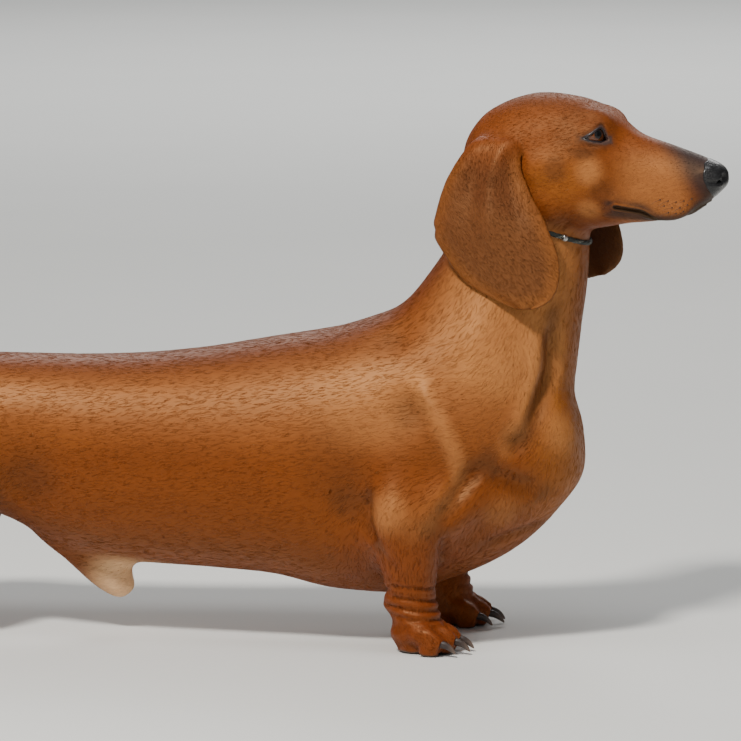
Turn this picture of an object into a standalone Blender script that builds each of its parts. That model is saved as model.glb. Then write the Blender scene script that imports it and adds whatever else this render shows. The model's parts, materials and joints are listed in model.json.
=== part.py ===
"""A life-size standing smooth-haired dachshund, divided into its body parts.

The dog looks along +X with its left side at +Y, and stands on the floor at Z = 0.
Flesh is drawn as overlapping closed forms, fused into one skin, softened at the joints,
and then parted with thin slots into torso, neck, legs, paws and tail.
"""

import math

import bmesh
import bpy
import numpy as np
from mathutils import Matrix, Vector

MM = 0.001
RIGHT, LEFT = -1, 1

# Driving dimensions, in millimetres
SLOT = 0.3
CENTRE_X = -212
FLOOR = 10
BODY_VOXEL = 2.6
HEAD_VOXEL = 1.7
PAW_VOXEL = 1.3
FOREPAW_TOP = 24
HINDPAW_TOP = 20
BODY_TRIANGLES = 4300
HEAD_TRIANGLES = 2600
PAW_TRIANGLES = 400

# Head: the pivot is the joint with the neck, and the head turns a little to the right
HEAD_PIVOT = Vector((45, 0, 330))
HEAD_YAW = math.radians(-10)
HEAD_PITCH = math.radians(-1.3)
HEAD_SCALE = 0.976
NOSE_REACH = 159.7
EYE_RADIUS = 10.5
EYE_CENTRE = Vector((67.2, 21, 22.6))
EYE_OUTWARD = math.radians(49)
LID_THICKNESS = 2.4
LID_OPENING = 20.5

# A thin round collar sits high on the neck, and the head begins at it
COLLAR_CENTRE = Vector((62, 0, 300.5))
COLLAR_NORMAL = Vector((0.364, 0, 0.931))
COLLAR_THICK = 1.5
COLLAR_BROAD = 2.3
COLLAR_DROP = 4.5
COLLAR_TURNS = 40
COLLAR_SIDES = 6

# Stance: where the feet stand, by side
FORE_STANCE = {RIGHT: 0, LEFT: 9}
HIND_STANCE = {RIGHT: 0, LEFT: -6}

# Colours, as linear red, green and blue
RED_COAT = (0.27, 0.085, 0.022)
DARK_EAR = (0.13, 0.042, 0.018)
PALE_BELLY = (0.36, 0.15, 0.05)
NOSE_BLACK = (0.012, 0.012, 0.014)
CLAW_HORN = (0.05, 0.035, 0.028)
EYE_BROWN = (0.045, 0.016, 0.006)
CORD_BLACK = (0.008, 0.012, 0.009)


# Curves and sections

def row_at(table, x):
    """The row of a station table at x, on a smooth curve that never overshoots its stations."""
    knots = np.array(table, float)
    order = np.argsort(knots[:, 0])
    at, value = knots[order, 0], knots[order]
    step = np.diff(at)[:, None]
    slope = np.diff(value, axis=0) / step
    bend = np.zeros_like(value)
    bend[0], bend[-1] = slope[0], slope[-1]
    product = slope[:-1] * slope[1:]
    total = slope[:-1] + slope[1:]
    safe = np.where(product > 0, total, 1)
    bend[1:-1] = np.where(product > 0, 2 * product / safe, 0)
    i = int(np.clip(np.searchsorted(at, x) - 1, 0, len(at) - 2))
    width = at[i + 1] - at[i]
    t = (x - at[i]) / width
    low = (2 * t + 1) * (t - 1) ** 2 * value[i] + t * (t - 1) ** 2 * width * bend[i]
    high = (3 - 2 * t) * t * t * value[i + 1] + t * t * (t - 1) * width * bend[i + 1]
    return low + high


def rounded(angle, squareness):
    """A point of the unit superellipse. A squareness of 2 is a circle, and more is boxier."""
    power = 2 / squareness
    c, s = math.cos(angle), math.sin(angle)
    return math.copysign(abs(c) ** power, c), math.copysign(abs(s) ** power, s)


def mesh_object(name, points, faces):
    mesh = bpy.data.meshes.new(name)
    mesh.from_pydata([tuple(p) for p in points], [], faces)
    mesh.validate()
    made = bpy.data.objects.new(name, mesh)
    bpy.context.scene.collection.objects.link(made)
    turn_outwards(made)
    return made


def turn_outwards(made):
    """Faces point away from the inside."""
    work = bmesh.new()
    work.from_mesh(made.data)
    bmesh.ops.recalc_face_normals(work, faces=work.faces)
    if work.calc_volume(signed=True) < 0:
        bmesh.ops.reverse_faces(work, faces=work.faces)
    work.to_mesh(made.data)
    work.free()


def bridge_rings(name, rings):
    """A closed tube through rings of the same number of points, with flat ends."""
    count = len(rings[0])
    points = [p for ring in rings for p in ring]
    faces = [list(range(count))[::-1]]
    for r in range(len(rings) - 1):
        for k in range(count):
            a, b = r * count + k, r * count + (k + 1) % count
            faces.append([a, b, b + count, a + count])
    last = (len(rings) - 1) * count
    faces.append([last + k for k in range(count)])
    return mesh_object(name, points, faces)


def upright_loft(name, table, squareness=(2, 2), spacing=4, sides=36):
    """A body drawn as upright slices. Each station holds: along, top, bottom, half width, height
    of the widest place. squareness holds the upper and the lower half's."""
    first, last = table[0][0], table[-1][0]
    steps = max(2, round(abs(last - first) / spacing))
    rings = []
    for k in range(steps + 1):
        along, top, bottom, half, widest = row_at(table, first + (last - first) * k / steps)
        ring = []
        for n in range(sides):
            angle = 2 * math.pi * n / sides
            c, s = rounded(angle, squareness[0] if n < sides / 2 else squareness[1])
            rise = (top - widest) * s if s > 0 else (widest - bottom) * s
            ring.append((along, half * c, widest + rise))
        rings.append(ring)
    return bridge_rings(name, rings)


def limb(name, stations, spacing=4, sides=28):
    """A tube along a bent line. Each station holds: x, y, z, half depth in the dog's upright
    plane, half width across it."""
    places = np.array(stations, float)
    run = np.concatenate([[0], np.cumsum(np.linalg.norm(np.diff(places[:, :3], axis=0), axis=1))])
    table = np.column_stack([run, places])
    steps = max(3, round(run[-1] / spacing))
    rows = np.array([row_at(table, run[-1] * k / steps)[1:] for k in range(steps + 1)])
    rings = []
    for k, (x, y, z, depth, width) in enumerate(rows):
        ahead, behind = rows[min(k + 1, steps)], rows[max(k - 1, 0)]
        along = Vector(ahead[:3] - behind[:3]).normalized()
        across = (Vector((0, 1, 0)) - along * along.y).normalized()
        deep = across.cross(along)
        centre = Vector((x, y, z))
        turn = [2 * math.pi * n / sides for n in range(sides)]
        rings.append([centre + deep * depth * math.cos(a) + across * width * math.sin(a) for a in turn])
    return bridge_rings(name, rings)


def ball(name, centre, radii, pitch=0.0, yaw=0.0, sides=24):
    """An ellipsoid. pitch turns it about the crosswise axis and yaw about the upright one."""
    work = bmesh.new()
    turn = Matrix.Rotation(math.radians(yaw), 4, "Z") @ Matrix.Rotation(math.radians(pitch), 4, "Y")
    place = Matrix.Translation(Vector(centre)) @ turn @ Matrix.Diagonal((*radii, 1))
    bmesh.ops.create_uvsphere(work, u_segments=sides, v_segments=sides // 2, radius=1, matrix=place)
    mesh = bpy.data.meshes.new(name)
    work.to_mesh(mesh)
    work.free()
    made = bpy.data.objects.new(name, mesh)
    bpy.context.scene.collection.objects.link(made)
    turn_outwards(made)
    return made


def box(name, centre, size, rotation=None):
    work = bmesh.new()
    bmesh.ops.create_cube(work, size=1)
    turn = rotation if rotation is not None else Matrix.Identity(4)
    work.transform(Matrix.Translation(Vector(centre)) @ turn @ Matrix.Diagonal((*size, 1)))
    mesh = bpy.data.meshes.new(name)
    work.to_mesh(mesh)
    work.free()
    made = bpy.data.objects.new(name, mesh)
    bpy.context.scene.collection.objects.link(made)
    turn_outwards(made)
    return made


# Modelling steps

def discard(*objects):
    for item in objects:
        bpy.data.objects.remove(item)


def settle(made):
    """Makes the modifiers' result the object's own mesh."""
    graph = bpy.context.evaluated_depsgraph_get()
    graph.update()
    result = bpy.data.meshes.new_from_object(made.evaluated_get(graph))
    made.modifiers.clear()
    made.data = result
    return made


def joined(name, pieces):
    """The pieces as one object, still as separate overlapping shells."""
    work = bmesh.new()
    for piece in pieces:
        work.from_mesh(piece.data)
    mesh = bpy.data.meshes.new(name)
    work.to_mesh(mesh)
    work.free()
    discard(*pieces)
    made = bpy.data.objects.new(name, mesh)
    bpy.context.scene.collection.objects.link(made)
    return made


def fused(name, pieces, voxel):
    """One closed skin round overlapping closed pieces."""
    made = joined(name, pieces)
    remesh = made.modifiers.new("Fuse", "REMESH")
    remesh.mode = "VOXEL"
    remesh.voxel_size = voxel
    return settle(made)


def soften(made, places, everywhere, repeat):
    """Rounds the skin: fully within each place (x, y, z, radius), by a share everywhere else."""
    group = made.vertex_groups.new(name="soft")
    points = np.array([v.co for v in made.data.vertices])
    share = np.full(len(points), everywhere)
    for x, y, z, radius in places:
        reach = np.linalg.norm(points - (x, y, z), axis=1) / radius
        fade = np.clip(2 - 2 * reach, 0, 1)
        share = np.maximum(share, everywhere + (1 - everywhere) * fade * fade * (3 - 2 * fade))
    for index, weight in enumerate(share):
        group.add([index], float(weight), "REPLACE")
    smooth = made.modifiers.new("Soften", "SMOOTH")
    smooth.factor = 0.5
    smooth.iterations = repeat
    smooth.vertex_group = "soft"
    settle(made)
    made.vertex_groups.clear()
    return made


def sculpt(made, marks):
    """Raises (or, below zero, dents) the skin by an amount round each mark (x, y, z, radius, rise)."""
    mesh = made.data
    points = np.array([v.co for v in mesh.vertices])
    normals = np.array([v.normal for v in mesh.vertices])
    push = np.zeros(len(points))
    for x, y, z, radius, rise in marks:
        apart = np.linalg.norm(points - (x, y, z), axis=1) / radius
        push += rise * np.exp(-2 * apart * apart)
    mesh.vertices.foreach_set("co", (points + normals * push[:, None]).astype(np.float32).ravel())
    mesh.update()
    return made


def both_sides(marks):
    """Marks drawn for the left side, and the same on the right."""
    return list(marks) + [(x, -y, z, *rest) for x, y, z, *rest in marks]


def lighten(made, triangles):
    """Fewer triangles, kept where the form bends most."""
    made.data.calc_loop_triangles()
    share = triangles / len(made.data.loop_triangles)
    decimate = made.modifiers.new("Lighten", "DECIMATE")
    decimate.ratio = min(1.0, share)
    decimate.use_collapse_triangulate = True
    return settle(made)


def cut(made, tool, operation="DIFFERENCE", solver="EXACT"):
    boolean = made.modifiers.new("Cut", "BOOLEAN")
    boolean.operation = operation
    boolean.solver = solver
    boolean.object = tool
    return settle(made)


def copy_of(made, name):
    twin = bpy.data.objects.new(name, made.data.copy())
    bpy.context.scene.collection.objects.link(twin)
    return twin


def grown(made, name, distance):
    """A copy whose skin lies further out by a distance."""
    twin = copy_of(made, name)
    swell = twin.modifiers.new("Grow", "DISPLACE")
    swell.mid_level = 0
    swell.strength = distance
    return settle(twin)


def parts_of(made):
    """Splits an object into one object for each closed body, largest first."""
    work = bmesh.new()
    work.from_mesh(made.data)
    work.faces.ensure_lookup_table()
    unseen, found = set(work.faces), []
    while unseen:
        stack = [unseen.pop()]
        body = []
        while stack:
            face = stack.pop()
            body.append(face)
            for edge in face.edges:
                for other in edge.link_faces:
                    if other in unseen:
                        unseen.discard(other)
                        stack.append(other)
        found.append(body)
    pieces = []
    for body in sorted(found, key=len, reverse=True):
        index = {}
        points, faces = [], []
        for face in body:
            corners = []
            for vertex in face.verts:
                if vertex.index not in index:
                    index[vertex.index] = len(points)
                    points.append(vertex.co.copy())
                corners.append(index[vertex.index])
            faces.append(corners)
        mesh = bpy.data.meshes.new("piece")
        mesh.from_pydata([tuple(p) for p in points], [], faces)
        piece = bpy.data.objects.new("piece", mesh)
        bpy.context.scene.collection.objects.link(piece)
        pieces.append(piece)
    work.free()
    discard(made)
    return pieces


def largest_of(made, name):
    """Keeps only the largest closed body."""
    pieces = parts_of(made)
    discard(*pieces[1:])
    pieces[0].name = name
    return pieces[0]


def shell_of(region):
    """A thin hollow wall round a closed region, as thick as the gap between two parts. Both of
    its faces are split into triangles alike."""
    region.modifiers.new("Split", "TRIANGULATE")
    settle(region)
    outer = grown(region, "outer", SLOT)
    region.data.flip_normals()
    return joined("shell", [region, outer])


def slot(centre, normal, length, width):
    """A plate as thin as the gap between two parts. length runs in the dog's upright plane."""
    facing = Vector(normal).normalized()
    along = (Vector((1, 0, 0)) - facing * facing.x).normalized()
    across = facing.cross(along)
    turn = Matrix((along, across, facing)).transposed().to_4x4()
    return box("slot", centre, (length, width, SLOT), turn)


# Flesh of the trunk and limbs

# along, top, bottom, half width, height of the widest place
TRUNK = [
    (101, 142, 128, 8, 135),
    (97, 163, 118, 24, 140),
    (89, 184, 107, 37, 144),
    (74, 204, 88, 49, 145),
    (48, 219, 67, 60, 142),
    (15, 227, 52, 67, 137),
    (-25, 233, 40, 70.5, 131),
    (-65, 221.5, 42, 71.5, 128),
    (-112, 213.5, 52, 69, 130),
    (-160, 205, 55, 64, 131),
    (-205, 200.5, 57, 58, 134),
    (-250, 199, 66, 53, 139),
    (-290, 199.5, 85, 50, 146),
    (-330, 199.5, 98, 49, 151),
    (-365, 194, 104, 45, 149),
    (-390, 181, 113, 36, 147),
    (-404, 163, 130, 20, 146),
]

# x, y, z, half depth, half width
NECK = [
    (2, 0, 150, 70, 58),
    (22, 0, 185, 72, 59),
    (36, 0, 212, 64, 54),
    (46, 0, 238, 56, 47),
    (54, 0, 262, 50, 43),
    (57, 0, 284, 47, 41),
    (58, 0, 305, 41, 40),
    (52, 0, 326, 34, 36),
]

TAIL = [
    (-366, 0, 172, 22, 21),
    (-388, 0, 177, 18.5, 18),
    (-412, 0, 174, 14.5, 14.5),
    (-446, 0, 162, 11.5, 11.5),
    (-492, 0, 143, 9.3, 9.3),
    (-540, 0, 129, 7.4, 7.4),
    (-584, 0, 124, 5.4, 5.4),
    (-612, 0, 126, 3.6, 3.6),
    (-622, 0, 127.5, 1.6, 1.6),
]

SHEATH = [
    (-272, 0, 80, 9, 10),
    (-250, 0, 67, 12, 12),
    (-230, 0, 53.5, 15, 13),
    (-216, 0, 42, 13.5, 11.5),
    (-208.5, 0, 33, 8.5, 7.5),
]


def forearm(side):
    shift = FORE_STANCE[side]
    stations = [
        (-14 + shift, 59 * side, 106, 27, 18),
        (-12.5 + shift, 60.5 * side, 90, 25, 18.5),
        (-10.5 + shift, 59 * side, 75, 22, 17.5),
        (-10 + shift, 56 * side, 61, 19, 16),
        (-10 + shift, 53.5 * side, 50, 17.5, 15.5),
        (-8.5 + shift, 52.5 * side, 41, 17, 16.5),
        (-5 + shift, 52 * side, 32, 16.5, 17.5),
        (-2 + shift, 52 * side, 23, 14, 17),
    ]
    return limb("forearm", stations)


def rear_pastern(side):
    shift = HIND_STANCE[side]
    stations = [
        (-396 + shift, 47 * side, 77, 6.5, 6),
        (-395 + shift, 47 * side, 66, 11.5, 9.5),
        (-392 + shift, 46.5 * side, 52, 11.5, 10.5),
        (-389 + shift, 46.5 * side, 38, 11.5, 11.5),
        (-384 + shift, 46.5 * side, 26, 12.5, 14),
        (-379 + shift, 46.5 * side, 19, 11, 15),
    ]
    return limb("pastern", stations)


def fore_limb(side):
    """Shoulder blade, upper arm and forearm of one side, down to the pastern."""
    shift = FORE_STANCE[side]
    blade = [
        (-22, 34 * side, 208, 20, 12),
        (2, 45 * side, 188, 30, 15),
        (24, 49 * side, 160, 31, 16),
        (38, 45 * side, 138, 25, 15),
    ]
    upper_arm = [
        (48, 40 * side, 140, 18, 14),
        (32, 48 * side, 128, 24, 17),
        (8 + shift / 2, 56 * side, 110, 28, 19),
        (-16 + shift / 2, 59 * side, 99, 22, 17),
    ]
    triceps = [
        (-16, 46 * side, 176, 26, 14),
        (-16, 54 * side, 146, 30, 16),
        (-19 + shift / 2, 59 * side, 118, 24, 16),
        (-27 + shift, 60 * side, 100, 14, 13),
    ]
    return [
        limb("blade", blade),
        limb("upper_arm", upper_arm),
        limb("triceps", triceps),
        forearm(side),
        ball("carpal_pad", (-26 + shift, 54 * side, 42), (5, 5.5, 6)),
    ]


def hind_limb(side):
    """Thigh, lower leg and rear pastern of one side."""
    shift = HIND_STANCE[side]
    thigh = [
        (-352, 30 * side, 174, 43, 19),
        (-346, 41 * side, 150, 49, 23),
        (-334 + shift / 2, 48 * side, 124, 45, 24),
        (-319 + shift / 2, 51 * side, 102, 33, 20),
        (-309 + shift, 52 * side, 89, 19, 15),
    ]
    buttock = [
        (-378, 25 * side, 168, 21, 17),
        (-384, 32 * side, 142, 21, 18),
        (-377 + shift / 2, 39 * side, 116, 21, 16),
        (-364 + shift, 45 * side, 94, 17, 13),
    ]
    lower_leg = [
        (-303 + shift, 52 * side, 92, 17, 14),
        (-322 + shift, 52 * side, 88, 25, 16),
        (-347 + shift, 50 * side, 77, 22, 13.5),
        (-371 + shift, 48 * side, 68, 14.5, 10.5),
        (-391 + shift, 47 * side, 64, 10.5, 9),
    ]
    return [
        limb("thigh", thigh),
        limb("buttock", buttock),
        limb("lower_leg", lower_leg),
        rear_pastern(side),
    ]


class Paw:
    """A paw of four arched toes with pads. heel and middle place it on the floor, scale sizes it
    against a forepaw, shank draws the leg that stands in it, and top is where the leg begins."""

    TOES = ((-16.6, -6.0), (-5.9, 1.5), (5.9, 1.5), (16.6, -6.0))

    def __init__(self, name, heel, middle, scale, splay, shank, top):
        self.name = name
        self.shank = shank
        self.top = top
        self.heel = heel
        self.middle = middle
        self.scale = scale
        self.splay = splay

    def at(self, forward, outward, up):
        turn = math.radians(self.splay)
        x = forward * math.cos(turn) - outward * math.sin(turn)
        y = forward * math.sin(turn) + outward * math.cos(turn)
        return (self.heel + self.scale * x, self.middle + self.scale * y, FLOOR + self.scale * up)

    def toe(self, across, reach):
        stations = [
            (13, across * 0.62, 14.5, 7.5, 6.2),
            (24 + reach, across * 0.9, 14, 7.2, 5.9),
            (31 + reach, across * 1.0, 13.2, 7.4, 6.1),
            (37 + reach, across * 1.05, 9.6, 7, 5.9),
            (42 + reach, across * 1.08, 6.6, 5.2, 5),
        ]
        return limb(
            "toe",
            [(*self.at(f, o, u), d * self.scale, w * self.scale) for f, o, u, d, w in stations],
            spacing=2.5,
            sides=18,
        )

    def flesh(self):
        size = self.scale
        pieces = [
            ball("metacarpus", self.at(13, 0, 13), (16.5 * size, 17 * size, 12 * size)),
            ball("heel_pad", self.at(15, 0, 3.5), (14 * size, 14 * size, 6 * size)),
        ]
        for across, reach in self.TOES:
            pieces.append(self.toe(across, reach))
            pad = self.at(33 + reach, across * 1.04, 3.8)
            pieces.append(ball("toe_pad", pad, (8.5 * size, 5.6 * size, 5.8 * size), sides=16))
        return pieces

    def solid(self):
        """The paw alone, with the foot of its leg in it, cut flat on top and underneath."""
        side = RIGHT if self.middle < 0 else LEFT
        made = fused(self.name, self.flesh() + [self.shank(side)], PAW_VOXEL)
        soften(made, [(*self.at(6, 0, 20), 16)], 0.25, 14)
        folds = []
        for inner, outer in zip(self.TOES, self.TOES[1:]):
            between = (inner[0] + outer[0]) / 2
            reach = min(inner[1], outer[1])
            folds.append((*self.at(33 + reach, between, 15), 4.5, -1.6))
            folds.append((*self.at(40 + reach, between, 8), 4.5, -1.4))
        sculpt(made, folds)
        lighten(made, PAW_TRIANGLES)
        floor = box("floor_cut", (self.heel, self.middle, FLOOR - 30), (200, 200, 60))
        above = box("top_cut", (self.heel, self.middle, FLOOR + self.top - SLOT + 30), (200, 200, 60))
        for tool in (floor, above):
            cut(made, tool)
            discard(tool)
        return largest_of(made, self.name)

    def claw(self, number):
        """A claw sunk into the end of its toe, curving down to just over the floor."""
        across, reach = self.TOES[number]
        across *= 1.08
        stations = [
            (36 + reach, across, 9, 2.8, 2.2),
            (41 + reach, across, 9, 3.0, 2.4),
            (45.5 + reach, across * 1.01, 7.6, 2.6, 2.1),
            (49 + reach, across * 1.02, 5, 1.8, 1.4),
            (51.2 + reach, across * 1.02, 2.4, 0.6, 0.6),
        ]
        return limb(
            f"{self.name}_claw_{number + 1}",
            [(*self.at(f, o, u), d * self.scale, w * self.scale) for f, o, u, d, w in stations],
            spacing=4.5,
            sides=6,
        )


def four_paws():
    paws = []
    for side, word in ((RIGHT, "right"), (LEFT, "left")):
        fore, hind = -21 + FORE_STANCE[side], -394 + HIND_STANCE[side]
        paws.append(Paw(f"forepaw_{word}", fore, 52 * side, 1.0, 4 * side, forearm, FOREPAW_TOP))
        paws.append(Paw(f"hindpaw_{word}", hind, 46.5 * side, 0.9, 2 * side, rear_pastern, HINDPAW_TOP))
    return paws


def body_skin():
    """Trunk, neck, limbs and tail as one softened skin."""
    flesh = [
        upright_loft("trunk", TRUNK, squareness=(2.15, 2.1)),
        limb("neck", NECK),
        limb("tail", TAIL, spacing=6, sides=16),
        limb("sheath", SHEATH, spacing=3, sides=18),
        ball("scrotum", (-368, 0, 100), (13, 12, 16)),
    ]
    for side in (RIGHT, LEFT):
        flesh += fore_limb(side)
        flesh += hind_limb(side)
    skin = fused("body", flesh, BODY_VOXEL)
    joints = both_sides([
        (0, 58, 165, 75),
        (-30, 62, 100, 34),
        (40, 50, 100, 40),
        (40, 30, 75, 36),
        (-270, 50, 120, 50),
        (-345, 45, 165, 60),
        (-380, 35, 150, 45),
        (-335, 25, 95, 36),
        (-365, 48, 82, 26),
    ])
    joints += [(-15, 0, 245, 70), (90, 0, 190, 60), (60, 0, 215, 60), (-388, 0, 180, 44), (-240, 0, 68, 30)]
    soften(skin, joints, 0.12, 46)
    forms = both_sides([
        (73, 31, 154, 15, -8),
        (60, 42, 128, 12, -4),
        (36, 52, 92, 14, -5),
        (-42, 66, 122, 13, -3.5),
        (84, 20, 125, 24, 4),
        (-12, 58, 170, 30, 2.5),
        (-284, 50, 112, 18, -3),
        (-345, 62, 125, 32, 3),
        (-374, 58, 70, 14, -2),
        (-30, 45, 60, 14, -3),
    ])
    sculpt(skin, forms)
    return lighten(skin, BODY_TRIANGLES)


def leg_region(along, floor, stations):
    """The space a leg fills: an upright tube with a domed top, flat where the paw begins.
    Each station holds: height, half length along the body, inner edge."""
    outer_edge = 124
    places = []
    for side in (RIGHT, LEFT):
        rows = []
        for height, half, inner in stations:
            middle, width = (outer_edge + inner) / 2, (outer_edge - inner) / 2
            rows.append((along[side], middle * side, height, half, width))
        last = rows[-1]
        rows.append((last[0], last[1], floor, last[3], last[4]))
        places.append(limb("leg_region", rows, spacing=13, sides=20))
    return places


def part_body(skin):
    """Parts the body skin with thin gaps and returns the pieces by name."""
    foreleg = [(142, 6, 70), (136, 26, 61), (122, 39, 53), (102, 47, 46), (78, 50, 38), (52, 48, 33)]
    hindleg = [(192, 8, 66), (184, 36, 54), (166, 54, 44), (140, 62, 35), (108, 67, 27), (70, 69, 23)]
    fore_places = {side: -8 + FORE_STANCE[side] / 2 for side in (RIGHT, LEFT)}
    hind_places = {side: -351 + HIND_STANCE[side] / 2 for side in (RIGHT, LEFT)}
    tools = [slot((38, 0, 209), (0.456, 0, 0.89), 170, 170)]
    tools.append(slot(COLLAR_CENTRE, COLLAR_NORMAL, 150, 130))
    tools += [shell_of(region) for region in leg_region(fore_places, FLOOR + FOREPAW_TOP, foreleg)]
    tools += [shell_of(region) for region in leg_region(hind_places, FLOOR + HINDPAW_TOP, hindleg)]
    tail_root = [(-401, 0, 176, 23, 24), (-440, 0, 164, 22, 22), (-500, 0, 142, 22, 22), (-640, 0, 130, 22, 22)]
    tools.append(shell_of(limb("tail_region", tail_root, spacing=60, sides=14)))
    for tool in tools:
        cut(skin, tool)
        discard(tool)
    named = {}
    for piece in parts_of(skin):
        points = np.array([v.co for v in piece.data.vertices])
        low, high = points.min(axis=0), points.max(axis=0)
        name = name_of_piece(low, high)
        if name in named or name is None:
            discard(piece)
            continue
        piece.name = name
        named[name] = piece
    return named


def name_of_piece(low, high):
    """Which part of the body fills a box. The pieces come largest first."""
    middle = (low + high) / 2
    word = "right" if middle[1] < 0 else "left"
    if high[0] - low[0] > 300:
        return "torso"
    if high[0] < -385 and high[0] - low[0] > 100:
        return "tail"
    if low[2] > 150:
        return "neck" if low[2] < 250 else "head_stump"
    if high[2] < FLOOR + 26:
        return None
    if middle[2] < 140 and abs(middle[1]) > 20:
        return f"foreleg_{word}" if middle[0] > -200 else f"hindleg_{word}"
    return None


# Head

# along from the pivot, top, bottom, half width, height of the widest place, from the floor
HEAD = [
    (-27, 345, 322, 10, 334),
    (-21, 356, 308, 22, 333),
    (-8, 369, 297, 32, 334),
    (14, 378, 289, 38, 337),
    (36, 381, 286, 39.5, 336),
    (56, 378, 286, 38.5, 334),
    (70, 373, 287.5, 34, 331),
    (82, 366, 289.5, 29, 327),
    (91, 358.5, 291, 26, 323),
    (101, 352, 291.5, 24, 319),
    (118, 346, 292.8, 21.5, 315),
    (132, 341, 297, 19, 315),
    (143, 337, 304, 16.6, 318),
    (150, 333.6, 310.5, 14, 321),
    (155, 330.5, 315, 11.6, 322),
    (158.3, 327.5, 318.5, 8, 323),
    (NOSE_REACH, 325.5, 321, 4, 323.5),
]

LIP_LINE = [
    (85, 26, 303),
    (93, 24, 299.6),
    (101, 21, 295.8),
    (108, 17.4, 293),
    (116, 13.8, 292.4),
    (125, 12, 293.6),
    (133, 10, 297),
    (139, 7.4, 300.6),
    (142.4, 4, 303.6),
    (143.6, 0, 304.8),
]


def to_head_frame(height):
    """Heights in the head's tables are from the floor, and the head's own frame starts at its pivot."""
    return height - HEAD_PIVOT.z


def head_matrix():
    turn = Matrix.Rotation(HEAD_YAW, 4, "Z") @ Matrix.Rotation(HEAD_PITCH, 4, "Y")
    return Matrix.Translation(HEAD_PIVOT) @ turn @ Matrix.Scale(HEAD_SCALE, 4)


def place_in_head(made):
    made.data.transform(head_matrix())
    return made


def eye_axis(side):
    """The way an eye looks, in the head's frame."""
    return Vector((math.cos(EYE_OUTWARD), math.sin(EYE_OUTWARD) * side, 0.06)).normalized()


def eye_centre(side):
    return Vector((EYE_CENTRE.x, EYE_CENTRE.y * side, EYE_CENTRE.z))


def head_flesh():
    """The head's forms in its own frame."""
    table = [
        (along, to_head_frame(top), to_head_frame(bottom), half, to_head_frame(widest))
        for along, top, bottom, half, widest in HEAD
    ]
    pieces = [upright_loft("skull", table, squareness=(2.05, 2.6), spacing=3, sides=44)]
    for side in (RIGHT, LEFT):
        cheekbone = [
            (12, 34 * side, 4, 10, 6),
            (34, 36 * side, 1.5, 13, 7),
            (56, 32.5 * side, 2, 12, 7),
            (76, 25 * side, 3, 9, 5.5),
        ]
        pieces.append(limb("cheekbone", cheekbone, spacing=3, sides=16))
        pieces.append(ball("cheek", (33, 27 * side, -20), (25, 13, 22), pitch=-12))
        pieces.append(ball("brow", (71, 16 * side, 33), (15, 9.5, 7.8), pitch=22))
        pieces.append(ball("lid_mound", eye_centre(side), [EYE_RADIUS + LID_THICKNESS] * 3))
        pieces.append(ball("ear_root", (6, 32 * side, 18), (19, 9, 8), pitch=-4))
        pieces.append(ball("nose_wing", (149.6, 7.4 * side, -8.8), (7.4, 6.4, 7.2)))
        pieces.append(ball("lip", (119, 15.2 * side, -28), (18, 6.2, 9.2), pitch=-3))
    pieces.append(ball("nose", (146.4, 0, -6), (12.6, 12.5, 10.6), pitch=10))
    pieces.append(ball("throat", (46, 0, -34), (30, 22, 12)))
    return pieces


def head_neck_stub():
    """The neck's own form, in the head's frame, so that the two surfaces meet."""
    stub = limb("neck_stub", NECK[2:])
    stub.data.transform(head_matrix().inverted())
    return stub


def mouth_blade():
    """A thin curved sheet along the lips, which cuts the line of the mouth."""
    half = [Vector((x, y, to_head_frame(z))) for x, y, z in LIP_LINE]
    line = [Vector((p.x, -p.y, p.z)) for p in half[:-1]] + half[::-1]
    outer, inner = [], []
    for point in line:
        sink = min(1.0, max(0.0, (point.x - 84) / 26))
        front = max(0.0, (point.x - 140) / 9)
        inward = Vector((-0.9 * front, -math.copysign(1, point.y) * (1 - 0.75 * sink), 0.25 + 0.75 * sink))
        if abs(point.y) < 1:
            inward.y = 0
        inward.normalize()
        outer.append(point - inward * 5)
        inner.append(point + inward * 6)
    points = outer + inner
    count = len(line)
    faces = [[k, k + 1, k + 1 + count, k + count] for k in range(count - 1)]
    mesh = bpy.data.meshes.new("mouth_blade")
    mesh.from_pydata([tuple(p) for p in points], [], faces)
    made = bpy.data.objects.new("mouth_blade", mesh)
    bpy.context.scene.collection.objects.link(made)
    wall = made.modifiers.new("Wall", "SOLIDIFY")
    wall.thickness = 1.0
    wall.offset = 0
    settle(made)
    turn_outwards(made)
    return made


def eye_opening(side):
    """The almond between the lids, as a short prism along the way the eye looks."""
    axis = eye_axis(side)
    forward = (Vector((1, 0, 0)) - axis * axis.x).normalized()
    upward = Vector((0, 0, 1))
    upward = (upward - axis * axis.z - forward * forward.z).normalized()
    half = LID_OPENING / 2
    steps = 12
    upper, lower = [], []
    for k in range(steps + 1):
        t = -1 + 2 * k / steps
        peak = 6.6 * (1 - abs(t) ** 2.1) * (1 + 0.34 * t)
        dip = -3.4 * (1 - abs(t) ** 2.6)
        tilt = -0.6 - 0.4 * t
        upper.append((half * t, peak + tilt))
        lower.append((half * t, dip + tilt))
    outline = upper + lower[-2:0:-1]
    centre = eye_centre(side)
    rings = []
    for reach in (2.0, EYE_RADIUS + 9):
        rings.append([centre + axis * reach + forward * a + upward * b for a, b in outline])
    return bridge_rings("eye_opening", rings)


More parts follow.
